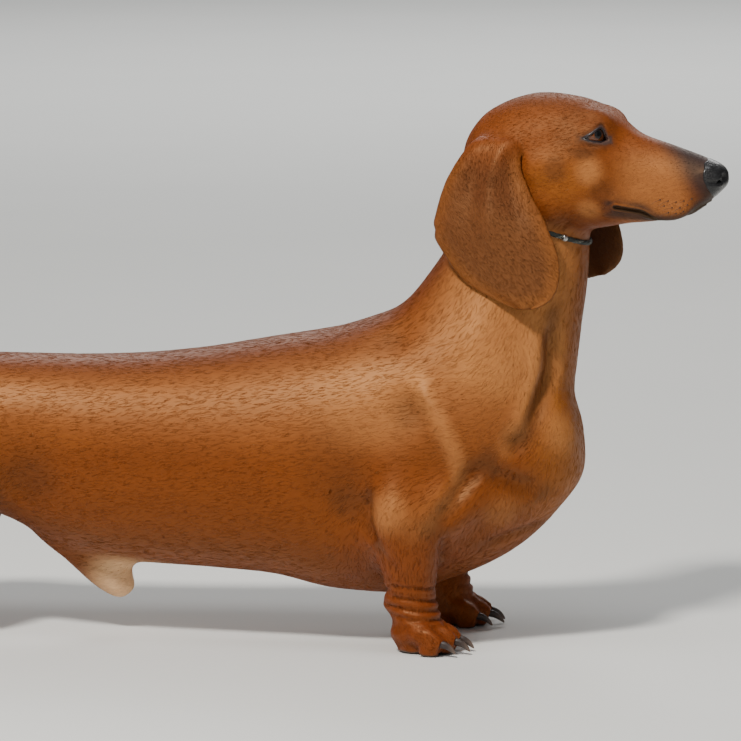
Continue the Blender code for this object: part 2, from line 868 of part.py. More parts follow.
def nostril(side):
    """The comma-shaped nostril: a hole in front that trails into a slit at the side."""
    hole = limb(
        "nostril_hole",
        [
            (164, 5.6 * side, -5.6, 3.4, 2.7),
            (156, 6.0 * side, -6.6, 3.3, 2.7),
            (148, 5.0 * side, -7.0, 1.8, 1.6),
        ],
        spacing=4,
        sides=10,
    )
    slit = limb(
        "nostril_slit",
        [
            (156.5, 7.0 * side, -8.6, 2.3, 2.0),
            (153.2, 12.2 * side, -10.6, 1.8, 2.0),
            (148, 15.2 * side, -10.2, 1.5, 1.8),
            (143.5, 16.4 * side, -7.2, 0.9, 1.4),
        ],
        spacing=3,
        sides=8,
    )
    return [hole, slit]


def nose_region(grow):
    """What the bare black leather of the nose fills."""
    return ball("nose_region", (152.5, 0, -6.8), (14.5 + grow, 19 + grow, 14.2 + grow), pitch=14, sides=20)


def head_solids():
    """Head and nose as two solids, with eye sockets, mouth and nostrils open."""
    skin = fused("head", head_flesh() + [head_neck_stub()], HEAD_VOXEL)
    creases = both_sides([(20, 30, -34, 30), (0, 32, 18, 20), (60, 30, 28, 12), (50, 20, -45, 26)])
    soften(skin, creases + [(0, 0, 0, 50)], 0.2, 26)
    forms = both_sides([
        (88, 18, 17, 9, -2.6),
        (64, 31, 34, 8, -1.6),
        (47, 34, 22, 14, -2.2),
        (100, 23, -10, 13, -1.8),
        (74, 30, 8, 8, 1.2),
        (128, 15, -24, 11, 1.2),
        (100, 21, -31, 9, -1.6),
        (24, 12, 48, 16, 1.0),
        (149, 11, -2.5, 5, 1.0),
        (143, 15, -12, 5, -0.8),
    ])
    forms += [(76, 0, 44, 9, -1.8), (94, 0, 26, 10, -0.8), (120, 0, -38, 13, -2.4), (40, 0, 51, 20, -0.8)]
    sculpt(skin, forms)
    lighten(skin, HEAD_TRIANGLES)
    turn = COLLAR_NORMAL.to_track_quat("Z", "X").to_matrix().to_4x4()
    start = COLLAR_CENTRE + COLLAR_NORMAL * (SLOT / 2)
    below = box("below", (0, 0, -150), (500, 500, 300))
    below.data.transform(head_matrix().inverted() @ Matrix.Translation(start) @ turn)
    cut(skin, below)
    discard(below)
    for side in (RIGHT, LEFT):
        tools = [
            ball("socket", eye_centre(side), [EYE_RADIUS + SLOT] * 3, sides=16),
            eye_opening(side),
        ]
        for tool in tools + nostril(side):
            cut(skin, tool)
            discard(tool)
    blade = mouth_blade()
    cut(skin, blade)
    discard(blade)
    for side in (RIGHT, LEFT):
        cup = ball("cup", (15, 39.5 * side, 9), (8.5, 7.5, 12.5), sides=14)
        cut(skin, cup)
        discard(cup)
    nose = copy_of(skin, "nose")
    inside, outside = nose_region(0), nose_region(SLOT)
    cut(nose, inside, "INTERSECT")
    cut(skin, outside)
    discard(inside, outside)
    head = largest_of(skin, "head")
    return place_in_head(head), place_in_head(largest_of(nose, "nose"))


def eyeball(side, word):
    globe = ball(f"eye_{word}", eye_centre(side), [EYE_RADIUS] * 3, sides=16)
    return place_in_head(globe)


# Ears

# how far out, height from the floor, rear edge, front edge, thickness
EAR = [
    (25, 347, -7, 19, 7),
    (34, 351.5, -8, 23, 6.5),
    (40.5, 350, -10, 25, 5.6),
    (44.5, 343, -15, 25, 4.6),
    (46.5, 334, -21, 25.5, 3.9),
    (48, 323, -27, 28.5, 3.5),
    (50, 313, -30.5, 33.5, 3.3),
    (52, 304, -33, 39, 3.2),
    (53.5, 296, -35, 43.5, 3.2),
    (54.5, 288, -36.5, 47, 3.2),
    (54.5, 280, -32, 50.5, 3.2),
    (54.5, 272, -27, 52.8, 3.2),
    (54, 264, -22, 53.5, 3.2),
    (53.5, 256, -14.5, 53, 3.2),
    (53, 250, -6, 51.5, 3.2),
    (52.5, 244.5, 5.5, 48.5, 3.1),
    (52, 240, 15.5, 43, 2.9),
    (51.7, 237.2, 24, 34.5, 2.6),
]
EAR_ROWS = 16
EAR_COLUMNS = 8
EAR_ROOT_TUCK = 8
EAR_CURL_FRONT = 6.5
EAR_CURL_REAR = 8
EAR_SWING = {RIGHT: 0, LEFT: 12}
EAR_SHIFT = {RIGHT: (-1, 0), LEFT: (-1, 5)}


def ear_surface(side):
    """Middle points and thickness of the ear's leather: rows down its length, columns across."""
    table = np.array(EAR, float)
    run = np.concatenate([[0], np.cumsum(np.hypot(np.diff(table[:, 0]), np.diff(table[:, 1])))])
    table = np.column_stack([run, table])
    middle = np.zeros((EAR_ROWS + 1, EAR_COLUMNS + 1, 3))
    thickness = np.zeros((EAR_ROWS + 1, EAR_COLUMNS + 1))
    swing = math.radians(EAR_SWING[side])
    for r in range(EAR_ROWS + 1):
        share = (r / EAR_ROWS) ** 0.92
        _, out, height, rear, front, thick = row_at(table, run[-1] * share)
        hang = min(1.0, max(0.0, (352 - height) / 40))
        spread = min(1.0, (front - rear) / 75) ** 1.5
        for c in range(EAR_COLUMNS + 1):
            t = -1 + 2 * c / EAR_COLUMNS
            along = rear + (front - rear) * (t + 1) / 2
            curl = (EAR_CURL_FRONT if t > 0 else EAR_CURL_REAR) * t * t * (0.35 + 0.65 * hang) * spread
            curl += EAR_ROOT_TUCK * (1 - hang) * abs(t) ** 4 * (1 if t > 0 else 0.5)
            x, z = along, to_head_frame(height)
            ahead, drop = x - 8, z - 18
            x = 8 + ahead * math.cos(swing) - drop * math.sin(swing)
            z = 18 + drop * math.cos(swing) + ahead * math.sin(swing)
            middle[r, c] = (x + EAR_SHIFT[side][0] * hang, side * (out - curl), z + EAR_SHIFT[side][1] * hang)
            rim = min(c, EAR_COLUMNS - c, 2) / 2
            thickness[r, c] = thick * (0.62 + 0.38 * rim)
    return middle, thickness


def ear(side, word, near):
    """A drop ear as a thin curved leaf. Its faces are split alike on both sides, and its root is
    cut back to stand just clear of the skull."""
    middle, thickness = ear_surface(side)
    down = np.gradient(middle, axis=0)
    over = np.gradient(middle, axis=1)
    normal = np.cross(down, over)
    normal /= np.linalg.norm(normal, axis=2, keepdims=True)
    half = normal * thickness[:, :, None] / 2
    front, back = middle + half, middle - half
    rows, columns = EAR_ROWS + 1, EAR_COLUMNS + 1
    points = np.concatenate([front.reshape(-1, 3), back.reshape(-1, 3)])
    faces = []
    other = rows * columns
    for r in range(EAR_ROWS):
        for c in range(EAR_COLUMNS):
            a, b = r * columns + c, r * columns + c + 1
            d, e = a + columns, b + columns
            faces += [[a, b, e], [a, e, d]]
            faces += [[other + a, other + e, other + b], [other + a, other + d, other + e]]
    border = list(range(columns))
    border += [r * columns + columns - 1 for r in range(1, rows)]
    border += [(rows - 1) * columns + c for c in range(columns - 2, -1, -1)]
    border += [r * columns for r in range(rows - 2, 0, -1)]
    for k, a in enumerate(border):
        b = border[(k + 1) % len(border)]
        faces += [[a, other + a, other + b], [a, other + b, b]]
    made = mesh_object(f"ear_{word}", points, faces)
    place_in_head(made)
    for other in near:
        clearance = grown(other, "clearance", SLOT)
        cut(made, clearance, solver="MANIFOLD")
        discard(clearance)
    return largest_of(made, f"ear_{word}")


# Collar

def collar(neck, head):
    """A cord round the neck, a hair's breadth clear of the skin, drawn by feeling for the skin
    all the way round."""
    level = COLLAR_NORMAL.to_track_quat("Z", "X").to_matrix()
    centre = COLLAR_CENTRE - COLLAR_NORMAL * COLLAR_DROP
    reach = []
    for k in range(COLLAR_TURNS):
        angle = 2 * math.pi * k / COLLAR_TURNS
        outward = level @ Vector((math.cos(angle), math.sin(angle), 0))
        far = 0.0
        for lift in (-COLLAR_BROAD - 0.4, 0.8, -0.8, COLLAR_BROAD + 0.4):
            start = centre + COLLAR_NORMAL * lift + outward * 120
            for skin in (neck, head):
                hit, place, _, _ = skin.ray_cast(start, -outward)
                if hit:
                    far = max(far, (place - centre - COLLAR_NORMAL * lift).length)
        reach.append(far)
    near = (-1, 0, 1)
    widest = [max(reach[(k + j) % COLLAR_TURNS] for j in near) for k in range(COLLAR_TURNS)]
    eased = [sum(widest[(k + j) % COLLAR_TURNS] for j in near) / 3 for k in range(COLLAR_TURNS)]
    rings = []
    for k in range(COLLAR_TURNS):
        angle = 2 * math.pi * k / COLLAR_TURNS
        outward = level @ Vector((math.cos(angle), math.sin(angle), 0))
        middle = centre + outward * (eased[k] + COLLAR_THICK + SLOT + 0.15)
        ring = []
        for n in range(COLLAR_SIDES):
            a = 2 * math.pi * n / COLLAR_SIDES
            side, rise = COLLAR_THICK * math.cos(a), COLLAR_BROAD * math.sin(a)
            ring.append(middle + outward * side + COLLAR_NORMAL * rise)
        rings.append(ring)
    points = [p for ring in rings for p in ring]
    faces = []
    for k in range(COLLAR_TURNS):
        for n in range(COLLAR_SIDES):
            here, ahead = k * COLLAR_SIDES, (k + 1) % COLLAR_TURNS * COLLAR_SIDES
            after = (n + 1) % COLLAR_SIDES
            faces.append([here + n, here + after, ahead + after, ahead + n])
    return mesh_object("collar", points, faces)


# Finish

def paint(made, name, colour, roughness):
    material = bpy.data.materials.get(name) or bpy.data.materials.new(name)
    material.use_nodes = True
    shader = material.node_tree.nodes["Principled BSDF"]
    shader.inputs["Base Color"].default_value = (*colour, 1)
    shader.inputs["Roughness"].default_value = roughness
    shader.inputs["Metallic"].default_value = 0
    made.data.materials.clear()
    made.data.materials.append(material)


def seat_claws(paws, named):
    """Each claw stands in a socket of its paw, a hair's breadth clear of it."""
    for paw in paws:
        flesh = named[paw.name]
        for number in range(len(paw.TOES)):
            claw = paw.claw(number)
            socket = grown(claw, "socket", SLOT)
            cut(flesh, socket)
            discard(socket)
            paint(claw, "claw", CLAW_HORN, 0.35)
        named[paw.name] = largest_of(flesh, paw.name)


def to_metres(made):
    """Millimetres round the working origin become metres over the model's origin."""
    made.data.transform(Matrix.Diagonal((MM, MM, MM, 1)) @ Matrix.Translation((-CENTRE_X, 0, -FLOOR)))
    made.data.shade_smooth()
    made.data.set_sharp_from_angle(angle=math.radians(50))


def build():
    for item in list(bpy.data.objects):
        bpy.data.objects.remove(item)
    paws = four_paws()
    named = part_body(body_skin())
    discard(named.pop("head_stump"))
    for paw in paws:
        named[paw.name] = paw.solid()
    seat_claws(paws, named)
    for name, piece in named.items():
        paint(piece, "red_coat", RED_COAT, 0.55)
    head, nose = head_solids()
    paint(head, "red_coat", RED_COAT, 0.5)
    paint(nose, "nose_leather", NOSE_BLACK, 0.28)
    band = collar(named["neck"], head)
    paint(band, "cord", CORD_BLACK, 0.6)
    for side, word in ((RIGHT, "right"), (LEFT, "left")):
        paint(ear(side, word, [head, named["neck"], band]), "ear_coat", DARK_EAR, 0.55)
        paint(eyeball(side, word), "eye", EYE_BROWN, 0.08)
    for made in bpy.context.scene.objects:
        to_metres(made)


build()
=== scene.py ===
# %% [markdown]
# # A red smooth-haired dachshund, life size
#
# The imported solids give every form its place. This lesson clothes them: one skin over all
# the flesh, sculpted folds, eyes, nose leather, claws, a cord collar and a short, flat coat.
# Sizes are in metres, or in millimetres of the head's own frame where that is said.

import json
import math

import bpy
import numpy as np
from mathutils import Matrix, Vector
from mathutils.bvhtree import BVHTree

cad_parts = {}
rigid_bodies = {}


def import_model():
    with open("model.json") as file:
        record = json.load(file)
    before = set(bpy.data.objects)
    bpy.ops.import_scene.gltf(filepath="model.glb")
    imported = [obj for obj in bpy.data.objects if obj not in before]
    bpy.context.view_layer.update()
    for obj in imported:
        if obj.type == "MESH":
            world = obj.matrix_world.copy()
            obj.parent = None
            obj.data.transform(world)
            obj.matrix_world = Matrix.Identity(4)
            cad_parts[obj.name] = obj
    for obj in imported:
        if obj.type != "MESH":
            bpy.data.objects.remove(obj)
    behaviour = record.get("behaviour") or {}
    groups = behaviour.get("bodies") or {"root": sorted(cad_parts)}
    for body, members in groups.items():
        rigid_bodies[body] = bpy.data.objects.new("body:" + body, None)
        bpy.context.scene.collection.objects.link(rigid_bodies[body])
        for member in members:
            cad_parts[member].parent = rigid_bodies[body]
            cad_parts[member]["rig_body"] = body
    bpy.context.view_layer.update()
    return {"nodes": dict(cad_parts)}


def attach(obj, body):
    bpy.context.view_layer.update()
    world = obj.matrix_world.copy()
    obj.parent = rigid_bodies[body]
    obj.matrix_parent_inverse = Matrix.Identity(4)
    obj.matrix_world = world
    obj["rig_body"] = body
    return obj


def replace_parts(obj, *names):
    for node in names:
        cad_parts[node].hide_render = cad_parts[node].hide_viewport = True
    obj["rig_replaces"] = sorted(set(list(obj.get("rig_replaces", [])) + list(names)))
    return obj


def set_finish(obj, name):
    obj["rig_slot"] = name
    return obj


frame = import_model()
bpy.ops.object.select_all(action="DESELECT")
MM = 0.001
BODY = "root"
SIDES = {"right": -1, "left": 1}

# %% [markdown]
# ## Camera, lights and floor
#
# The photograph was taken from a little above the back, slightly in front of square on, with
# a long lens. A camera could be turned by hand until the picture fits. Here it is set from two
# angles, the distance and the width of the view, so each can be changed without the others.

# %% Camera
VIEW_TURN = math.radians(8)
VIEW_RISE = math.radians(7.5)
VIEW_DISTANCE = 3.5
VIEW_WIDTH = 0.497
VIEW_CENTRE = Vector((0.1677, 0, 0.1806))
SENSOR = 36

towards = Vector((
    math.sin(VIEW_TURN) * math.cos(VIEW_RISE),
    -math.cos(VIEW_TURN) * math.cos(VIEW_RISE),
    math.sin(VIEW_RISE),
))
bpy.ops.object.camera_add(location=VIEW_CENTRE + towards * VIEW_DISTANCE)
camera = bpy.context.object
camera.rotation_euler = towards.to_track_quat("Z", "Y").to_euler()
camera.data.sensor_width = SENSOR
camera.data.lens = SENSOR * VIEW_DISTANCE / VIEW_WIDTH
camera.data.clip_end = 50
bpy.context.scene.camera = camera
print("camera lens", round(camera.data.lens, 1), "mm")

# %% Lights
def softbox(name, place, aim, size, power, colour=(1, 1, 1)):
    """A square lamp that looks at a point."""
    bpy.ops.object.light_add(type="AREA", location=place)
    lamp = bpy.context.object
    lamp.name = name
    lamp.data.shape = "SQUARE"
    lamp.data.size = size
    lamp.data.energy = power
    lamp.data.color = colour
    lamp.rotation_euler = (Vector(place) - Vector(aim)).to_track_quat("Z", "Y").to_euler()


AIM = (0.1, 0, 0.18)
softbox("key", (-0.45, -1.65, 2.2), AIM, 0.36, 92, (1, 0.96, 0.9))
softbox("fill", (1.6, -1.8, 0.7), AIM, 1.6, 3, (0.93, 0.96, 1))
softbox("back", (0.3, 1.7, 1.6), AIM, 1.4, 9, (1, 0.97, 0.93))
softbox("top", (0.45, -0.35, 2.0), (0.3, 0, 0.3), 0.7, 9, (0.96, 0.98, 1))
softbox("far_floor", (0, 5.0, 3.2), (0, 5.0, 0), 3.5, 170)

world = bpy.context.scene.world or bpy.data.worlds.new("studio")
bpy.context.scene.world = world
world.use_nodes = True
world.node_tree.nodes["Background"].inputs["Color"].default_value = (0.86, 0.88, 0.9, 1)
world.node_tree.nodes["Background"].inputs["Strength"].default_value = 0.2

# %% [markdown]
# ## Shader maths
#
# A finish is easier to read as a sum than as a web of wires. `Value` wraps a socket, so that
# ordinary operators add the Math nodes.

# %% Shader helpers
class Value:
    """A socket's number that can be added, multiplied and so on."""

    def __init__(self, finish, socket):
        self.finish = finish
        self.socket = socket

    def math(self, operation, *others):
        values = {k + 1: other for k, other in enumerate(others)}
        return self.finish.node("ShaderNodeMath", {"operation": operation}, {0: self, **values})

    def __add__(self, other):
        return self.math("ADD", other)

    def __mul__(self, other):
        return self.math("MULTIPLY", other)

    def __sub__(self, other):
        return self.math("SUBTRACT", other)

    def __rsub__(self, other):
        return self * -1 + other

    __radd__ = __add__
    __rmul__ = __mul__

    def between(self, low, high):
        """Nought below low, one above high, and an eased rise from one to the other."""
        settings = {"interpolation_type": "SMOOTHSTEP"}
        inputs = {"Value": self, "From Min": low, "From Max": high, "To Min": 0.0, "To Max": 1.0}
        return self.finish.node("ShaderNodeMapRange", settings, inputs)


class Finish:
    """A material made of nodes."""

    def __init__(self, name, **fixed):
        self.material = bpy.data.materials.new(name)
        self.material.use_nodes = True
        self.tree = self.material.node_tree
        self.shader = self.tree.nodes["Principled BSDF"]
        for socket, value in fixed.items():
            self.shader.inputs[socket.replace("_", " ")].default_value = value

    def node(self, kind, settings=None, inputs=None, output=0):
        made = self.tree.nodes.new(kind)
        for key, value in (settings or {}).items():
            setattr(made, key, value)
        for key, value in (inputs or {}).items():
            if isinstance(value, Value):
                self.tree.links.new(value.socket, made.inputs[key])
            else:
                made.inputs[key].default_value = value
        return Value(self, made.outputs[output])

    def place(self):
        return self.node("ShaderNodeTexCoord", output="Object")

    def attribute(self, name, output="Fac"):
        return self.node("ShaderNodeAttribute", {"attribute_name": name}, output=output)

    def scaled(self, vector, scale):
        inputs = {"Vector": vector, "Scale": scale}
        return self.node("ShaderNodeMapping", {"vector_type": "POINT"}, inputs)

    def noise(self, vector, scale=1.0, detail=2.0, roughness=0.5):
        inputs = {"Vector": vector, "Scale": scale, "Detail": detail, "Roughness": roughness}
        return self.node("ShaderNodeTexNoise", {}, inputs)

    def mix(self, share, first, second, blend="MIX"):
        """Two colours mixed by a share."""
        settings = {"data_type": "RGBA", "blend_type": blend, "clamp_factor": True}
        return self.node("ShaderNodeMix", settings, {0: share, 6: first, 7: second}, output=2)

    def colour(self, value):
        self.tree.links.new(value.socket, self.shader.inputs["Base Color"])

    def roughness(self, value):
        self.tree.links.new(value.socket, self.shader.inputs["Roughness"])

    def bump(self, height, distance, strength=1.0):
        inputs = {"Height": height, "Distance": distance, "Strength": strength}
        bumped = self.node("ShaderNodeBump", {}, inputs)
        self.tree.links.new(bumped.socket, self.shader.inputs["Normal"])


def rgb(red, green, blue):
    """A linear colour from 8-bit screen numbers."""
    return tuple(((c / 255 + 0.055) / 1.055) ** 2.4 if c > 10 else c / 255 / 12.92
                 for c in (red, green, blue)) + (1.0,)


print("shader helpers ready")

# %% [markdown]
# ## Floor
#
# A photographer hangs a curved paper sweep, but that would hide the model from behind. A
# plain pale sheet does as well, wide enough that its far edge stays out of every picture.

# %% Floor
bpy.ops.mesh.primitive_grid_add(x_subdivisions=2, y_subdivisions=2, size=60, location=(0, 0, 0))
floor = bpy.context.object
floor.name = "floor"
paper = Finish("floor_paper", Roughness=0.9)
paper.shader.inputs["Specular IOR Level"].default_value = 0.1
grain = paper.noise(paper.place(), 3.0, 3.0)
paper.colour(paper.mix(grain, rgb(216, 217, 214), rgb(221, 221, 218)))
floor.data.materials.append(paper.material)
print("floor", len(floor.data.polygons), "faces")

# %% [markdown]
# ## One skin
#
# A live dog has no seams. Its parts could be joined by a Boolean, but that keeps every facet
# and a crease at each joint. So copies of the flesh solids are swelled until the thin cuts
# between them close, melted into one closed surface by a voxel remesh, and drawn in again to
# lie under the coat.

# %% Helpers for meshes
def rows_of(items, field, width, kind=np.float32):
    """One field of all items of a mesh, as rows of numbers."""
    flat = np.empty(len(items) * width, kind)
    items.foreach_get(field, flat)
    return flat.reshape(-1, width)


def points_of(piece):
    return rows_of(piece.data.vertices, "co", 3).astype(float)


def normals_of(piece):
    return rows_of(piece.data.vertex_normals, "vector", 3).astype(float)


def move_to(piece, points):
    piece.data.vertices.foreach_set("co", points.astype(np.float32).ravel())
    piece.data.update()


def only(piece):
    """Selects one piece and makes it the active one."""
    bpy.ops.object.select_all(action="DESELECT")
    piece.select_set(True)
    bpy.context.view_layer.objects.active = piece


def apply(piece, kind, **settings):
    """Adds a modifier with these settings and applies it."""
    only(piece)
    bpy.ops.object.modifier_add(type=kind)
    modifier = piece.modifiers[-1]
    for key, value in settings.items():
        setattr(modifier, key, value)
    bpy.ops.object.modifier_apply(modifier=modifier.name)
    return piece


def face_outwards(piece):
    """Turns every face of a closed piece outwards."""
    only(piece)
    bpy.ops.object.mode_set(mode="EDIT")
    bpy.ops.mesh.select_all(action="SELECT")
    bpy.ops.mesh.normals_make_consistent(inside=False)
    bpy.ops.object.mode_set(mode="OBJECT")


def merged_copy(node):
    """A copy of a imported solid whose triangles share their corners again."""
    twin = bpy.data.objects.new(node + "_copy", frame["nodes"][node].data.copy())
    bpy.context.scene.collection.objects.link(twin)
    only(twin)
    bpy.ops.object.mode_set(mode="EDIT")
    bpy.ops.mesh.select_all(action="SELECT")
    bpy.ops.mesh.remove_doubles(threshold=0.00002)
    bpy.ops.object.mode_set(mode="OBJECT")
    return twin


def join(name, pieces):
    bpy.ops.object.select_all(action="DESELECT")
    for piece in pieces:
        piece.select_set(True)
    bpy.context.view_layer.objects.active = pieces[0]
    bpy.ops.object.join()
    made = bpy.context.object
    made.name = name
    made.data.name = name
    return made


def ease(value, low, high):
    """Nought at low, one at high, eased between, for an array."""
    t = np.clip((value - low) / (high - low), 0, 1)
    return t * t * (3 - 2 * t)


print("mesh helpers ready")

# %% The head's own frame
HEAD_PIVOT = (0.257, 0, 0.320)
HEAD_YAW = math.radians(-10)
HEAD_PITCH = math.radians(-1.3)
HEAD_SCALE = 0.976
HEAD_PLACE = (
    Matrix.Translation(HEAD_PIVOT)
    @ Matrix.Rotation(HEAD_YAW, 4, "Z")
    @ Matrix.Rotation(HEAD_PITCH, 4, "Y")
    @ Matrix.Scale(HEAD_SCALE, 4)
)
HEAD_BACK = HEAD_PLACE.inverted()


def in_model(points):
    """Points in millimetres of the head's frame, as metres of the model."""
    rows = np.array(points, float).reshape(-1, 3) * MM
    turn = np.array(HEAD_PLACE)
    return rows @ turn[:3, :3].T + turn[:3, 3]


def in_head(points):
    """Points of the model, as millimetres of the head's frame."""
    turn = np.array(HEAD_BACK)
    return (points @ turn[:3, :3].T + turn[:3, 3]) / MM


EYE_CENTRE = (67.2, 21.0, 22.6)
EYE_RADIUS = 10.5
LID_DEPTH = 2.4
EYE_OUTWARD = math.radians(49)


def eye_frame(side):
    """Centre, outlook, forward and upward directions of an eye, in the head's millimetres."""
    centre = np.array(EYE_CENTRE) * (1, side, 1)
    look = np.array([math.cos(EYE_OUTWARD), math.sin(EYE_OUTWARD) * side, 0.06])
    look /= np.linalg.norm(look)
    forward = np.array([1.0, 0, 0]) - look * look[0]
    forward /= np.linalg.norm(forward)
    upward = np.array([0, 0, 1.0])
    upward = upward - look * look[2] - forward * forward[2]
    upward /= np.linalg.norm(upward)
    return centre, look, forward, upward


print("eye centres", [np.round(in_model([eye_frame(s)[0]])[0], 4).tolist() for s in SIDES.values()])

# %% Fuse the flesh
FLESH = ["torso", "neck", "head", "nose", "tail"]
LIMBS = ("foreleg", "hindleg", "forepaw", "hindpaw")
FLESH += [f"{part}_{word}" for part in LIMBS for word in SIDES]
VOXEL = 1.4 * MM
SWELL = 0.7 * MM
COAT_DEPTH = 0.6 * MM

swelled = [apply(merged_copy(node), "DISPLACE", mid_level=0, strength=SWELL) for node in FLESH]
for side in SIDES.values():
    place = in_model([eye_frame(side)[0]])[0]
    radius = (EYE_RADIUS + LID_DEPTH - 0.2) * HEAD_SCALE * MM + SWELL
    bpy.ops.mesh.primitive_uv_sphere_add(segments=48, ring_count=24, radius=radius, location=place)
    bpy.ops.object.transform_apply(location=True, rotation=True, scale=True)
    swelled.append(bpy.context.object)
skin = join("skin", swelled)
apply(skin, "REMESH", mode="VOXEL", voxel_size=VOXEL, use_smooth_shade=True)
print("skin", len(skin.data.vertices), "points after the remesh")

# %% [markdown]
# ## Smooth, draw in, set on the floor
#
# The solids are faceted. Averaging each point with its neighbours melts the facets away, long
# on the trunk and briefly on the toes, and then every point goes in along its normal.

# %% Smooth the facets
def edges_of(piece):
    return rows_of(piece.data.edges, "vertices", 2, np.int32)


def relax(points, edges, share, times):
    """Moves each point towards its neighbours' middle by its share, again and again."""
    first, second = edges[:, 0], edges[:, 1]
    count = np.bincount(edges.ravel(), minlength=len(points))[:, None]
    share = share[:, None] / np.maximum(count, 1)
    for _ in range(times):
        total = np.empty_like(points)
        for axis in range(3):
            line = points[:, axis]
            total[:, axis] = np.bincount(first, line[second], len(points))
            total[:, axis] += np.bincount(second, line[first], len(points))
        points = points + share * (total - points * count)
    return points


COLLAR_MIDDLE = np.array([0.274, 0, 0.2905])
COLLAR_UP = np.array([0.364, 0, 0.931])


def above_collar(points):
    return (points - COLLAR_MIDDLE) @ COLLAR_UP


points = points_of(skin)
leg_zone = ease(np.abs(points[:, 1]), 0.026, 0.034) * ease(-points[:, 2], -0.075, -0.045)
foot_zone = ease(np.abs(points[:, 1]), 0.026, 0.034) * ease(-points[:, 2], -0.034, -0.022)
head_zone = ease(above_collar(points), -0.004, 0.006)
tail_zone = ease(-points[:, 0], 0.17, 0.2)
share = 0.5 - 0.36 * np.maximum.reduce([head_zone, leg_zone, tail_zone]) - 0.1 * foot_zone
SMOOTHINGS = 90
points = relax(points, edges_of(skin), share, SMOOTHINGS)
move_to(skin, points)
points = points - normals_of(skin) * (SWELL + COAT_DEPTH)
SOLE_RISE = 6 * MM
FLOOR_GAP = 0.0001
low = 1 - ease(points[:, 2], 0.0, SOLE_RISE)
points[:, 2] -= np.minimum(points[:, 2] - FLOOR_GAP, COAT_DEPTH) * low
points[:, 2] = np.maximum(points[:, 2], FLOOR_GAP)
move_to(skin, points)
print("skin box", np.round(points.min(0), 4), np.round(points.max(0), 4))

# %% [markdown]
# ## Finer faces where the detail is
#
# Lids, lips and nose hold the smallest forms of the animal. A finer remesh would give the
# whole skin too many faces, so only the faces round these places are cut in four.

# %% Lip line on the skin
LIP_LINE = [
    (85, 26, -27), (93, 24, -30.4), (101, 21, -34.2), (108, 17.4, -37), (116, 13.8, -37.6),
    (125, 12, -36.4), (133, 10, -33), (139, 7.4, -29.4), (142.4, 4, -26.4), (143.6, 0, -25.2),
]


def tree_of(piece):
    graph = bpy.context.evaluated_depsgraph_get()
    return BVHTree.FromObject(piece, graph)


def lip_on(tree, side):
    """The lip line laid on the skin, from the corner of the mouth to the front.

    Each point is cast inwards, level at the corner and more and more from below towards the
    front, where the lip turns round the chin.
    """
    found = []
    for x, y, z in LIP_LINE:
        sink = min(1.0, max(0.0, (x - 84) / 26))
        front = max(0.0, (x - 140) / 9)
        inward = np.array([-0.9 * front, -(1 - 0.75 * sink), 0.25 + 0.75 * sink])
        if y < 1:
            inward[1] = 0
        inward /= np.linalg.norm(inward)
        start = np.array([x, y, z]) - inward * 9
        ends = in_model([start * (1, side, 1), (start + inward) * (1, side, 1)])
        way = Vector(ends[1] - ends[0]).normalized()
        hit = tree.ray_cast(Vector(ends[0]), way, 0.03)
        place = hit[0] if hit[0] is not None else Vector(in_model([(x, y * side, z)])[0])
        found.append(np.array(place))
    return np.array(found)


skin_tree = tree_of(skin)
LIPS = {word: lip_on(skin_tree, side) for word, side in SIDES.items()}
print("lip corner", np.round(LIPS["right"][0], 4), "front", np.round(LIPS["right"][-1], 4))


# %% Refine
def from_line(points, line):
    """How far each point is from a bent line, and how far along it the nearest place is."""
    line = np.array(line, float)
    lengths = np.linalg.norm(np.diff(line, axis=0), axis=1)
    run = np.concatenate([[0], np.cumsum(lengths)])
    gap, along = np.full(len(points), 1e9), np.zeros(len(points))
    for k, length in enumerate(lengths):
        way = line[k + 1] - line[k]
        t = np.clip(((points - line[k]) @ way) / (way @ way), 0, 1)
        away = np.linalg.norm(points - (line[k] + t[:, None] * way), axis=1)
        closer = away < gap
        gap[closer] = away[closer]
        along[closer] = (run[k] + t[closer] * length) / run[-1]
    return gap, along


def face_centres(piece):
    return rows_of(piece.data.polygons, "center", 3).astype(float)


def select_faces(piece, chosen):
    only(piece)
    bpy.ops.object.mode_set(mode="EDIT")
    bpy.ops.mesh.select_mode(type="FACE")
    bpy.ops.mesh.select_all(action="DESELECT")
    bpy.ops.object.mode_set(mode="OBJECT")
    piece.data.polygons.foreach_set("select", chosen)
    bpy.ops.object.mode_set(mode="EDIT")


def refine(piece, chosen):
    select_faces(piece, chosen)
    bpy.ops.mesh.subdivide(number_cuts=1, smoothness=0)
    bpy.ops.object.mode_set(mode="OBJECT")


NOSE_MIDDLE = in_model([(152.5, 0, -6.8)])[0]
EYE_ZONE, LIP_ZONE, NOSE_ZONE = 0.0185, 0.0045, 0.0165
MARGIN = 0.0015
centres = face_centres(skin)
near = np.zeros(len(centres), bool)
head_faces = above_collar(centres) > 0
for word, side in SIDES.items():
    eye = in_model([eye_frame(side)[0]])[0]
    near |= np.linalg.norm(centres - eye, axis=1) < EYE_ZONE
    near[head_faces] |= from_line(centres[head_faces], LIPS[word])[0] < LIP_ZONE
near |= np.linalg.norm(centres - NOSE_MIDDLE, axis=1) < NOSE_ZONE
refine(skin, near)
points = points_of(skin)
share = np.zeros(len(points))
share[:] = 0.35 * (np.linalg.norm(points - NOSE_MIDDLE, axis=1) < NOSE_ZONE + MARGIN)
for side in SIDES.values():
    eye = in_model([eye_frame(side)[0]])[0]
    share = np.maximum(share, 0.35 * (np.linalg.norm(points - eye, axis=1) < EYE_ZONE + MARGIN))
move_to(skin, relax(points, edges_of(skin), share, 6))
print("skin", len(skin.data.vertices), "points after refining")

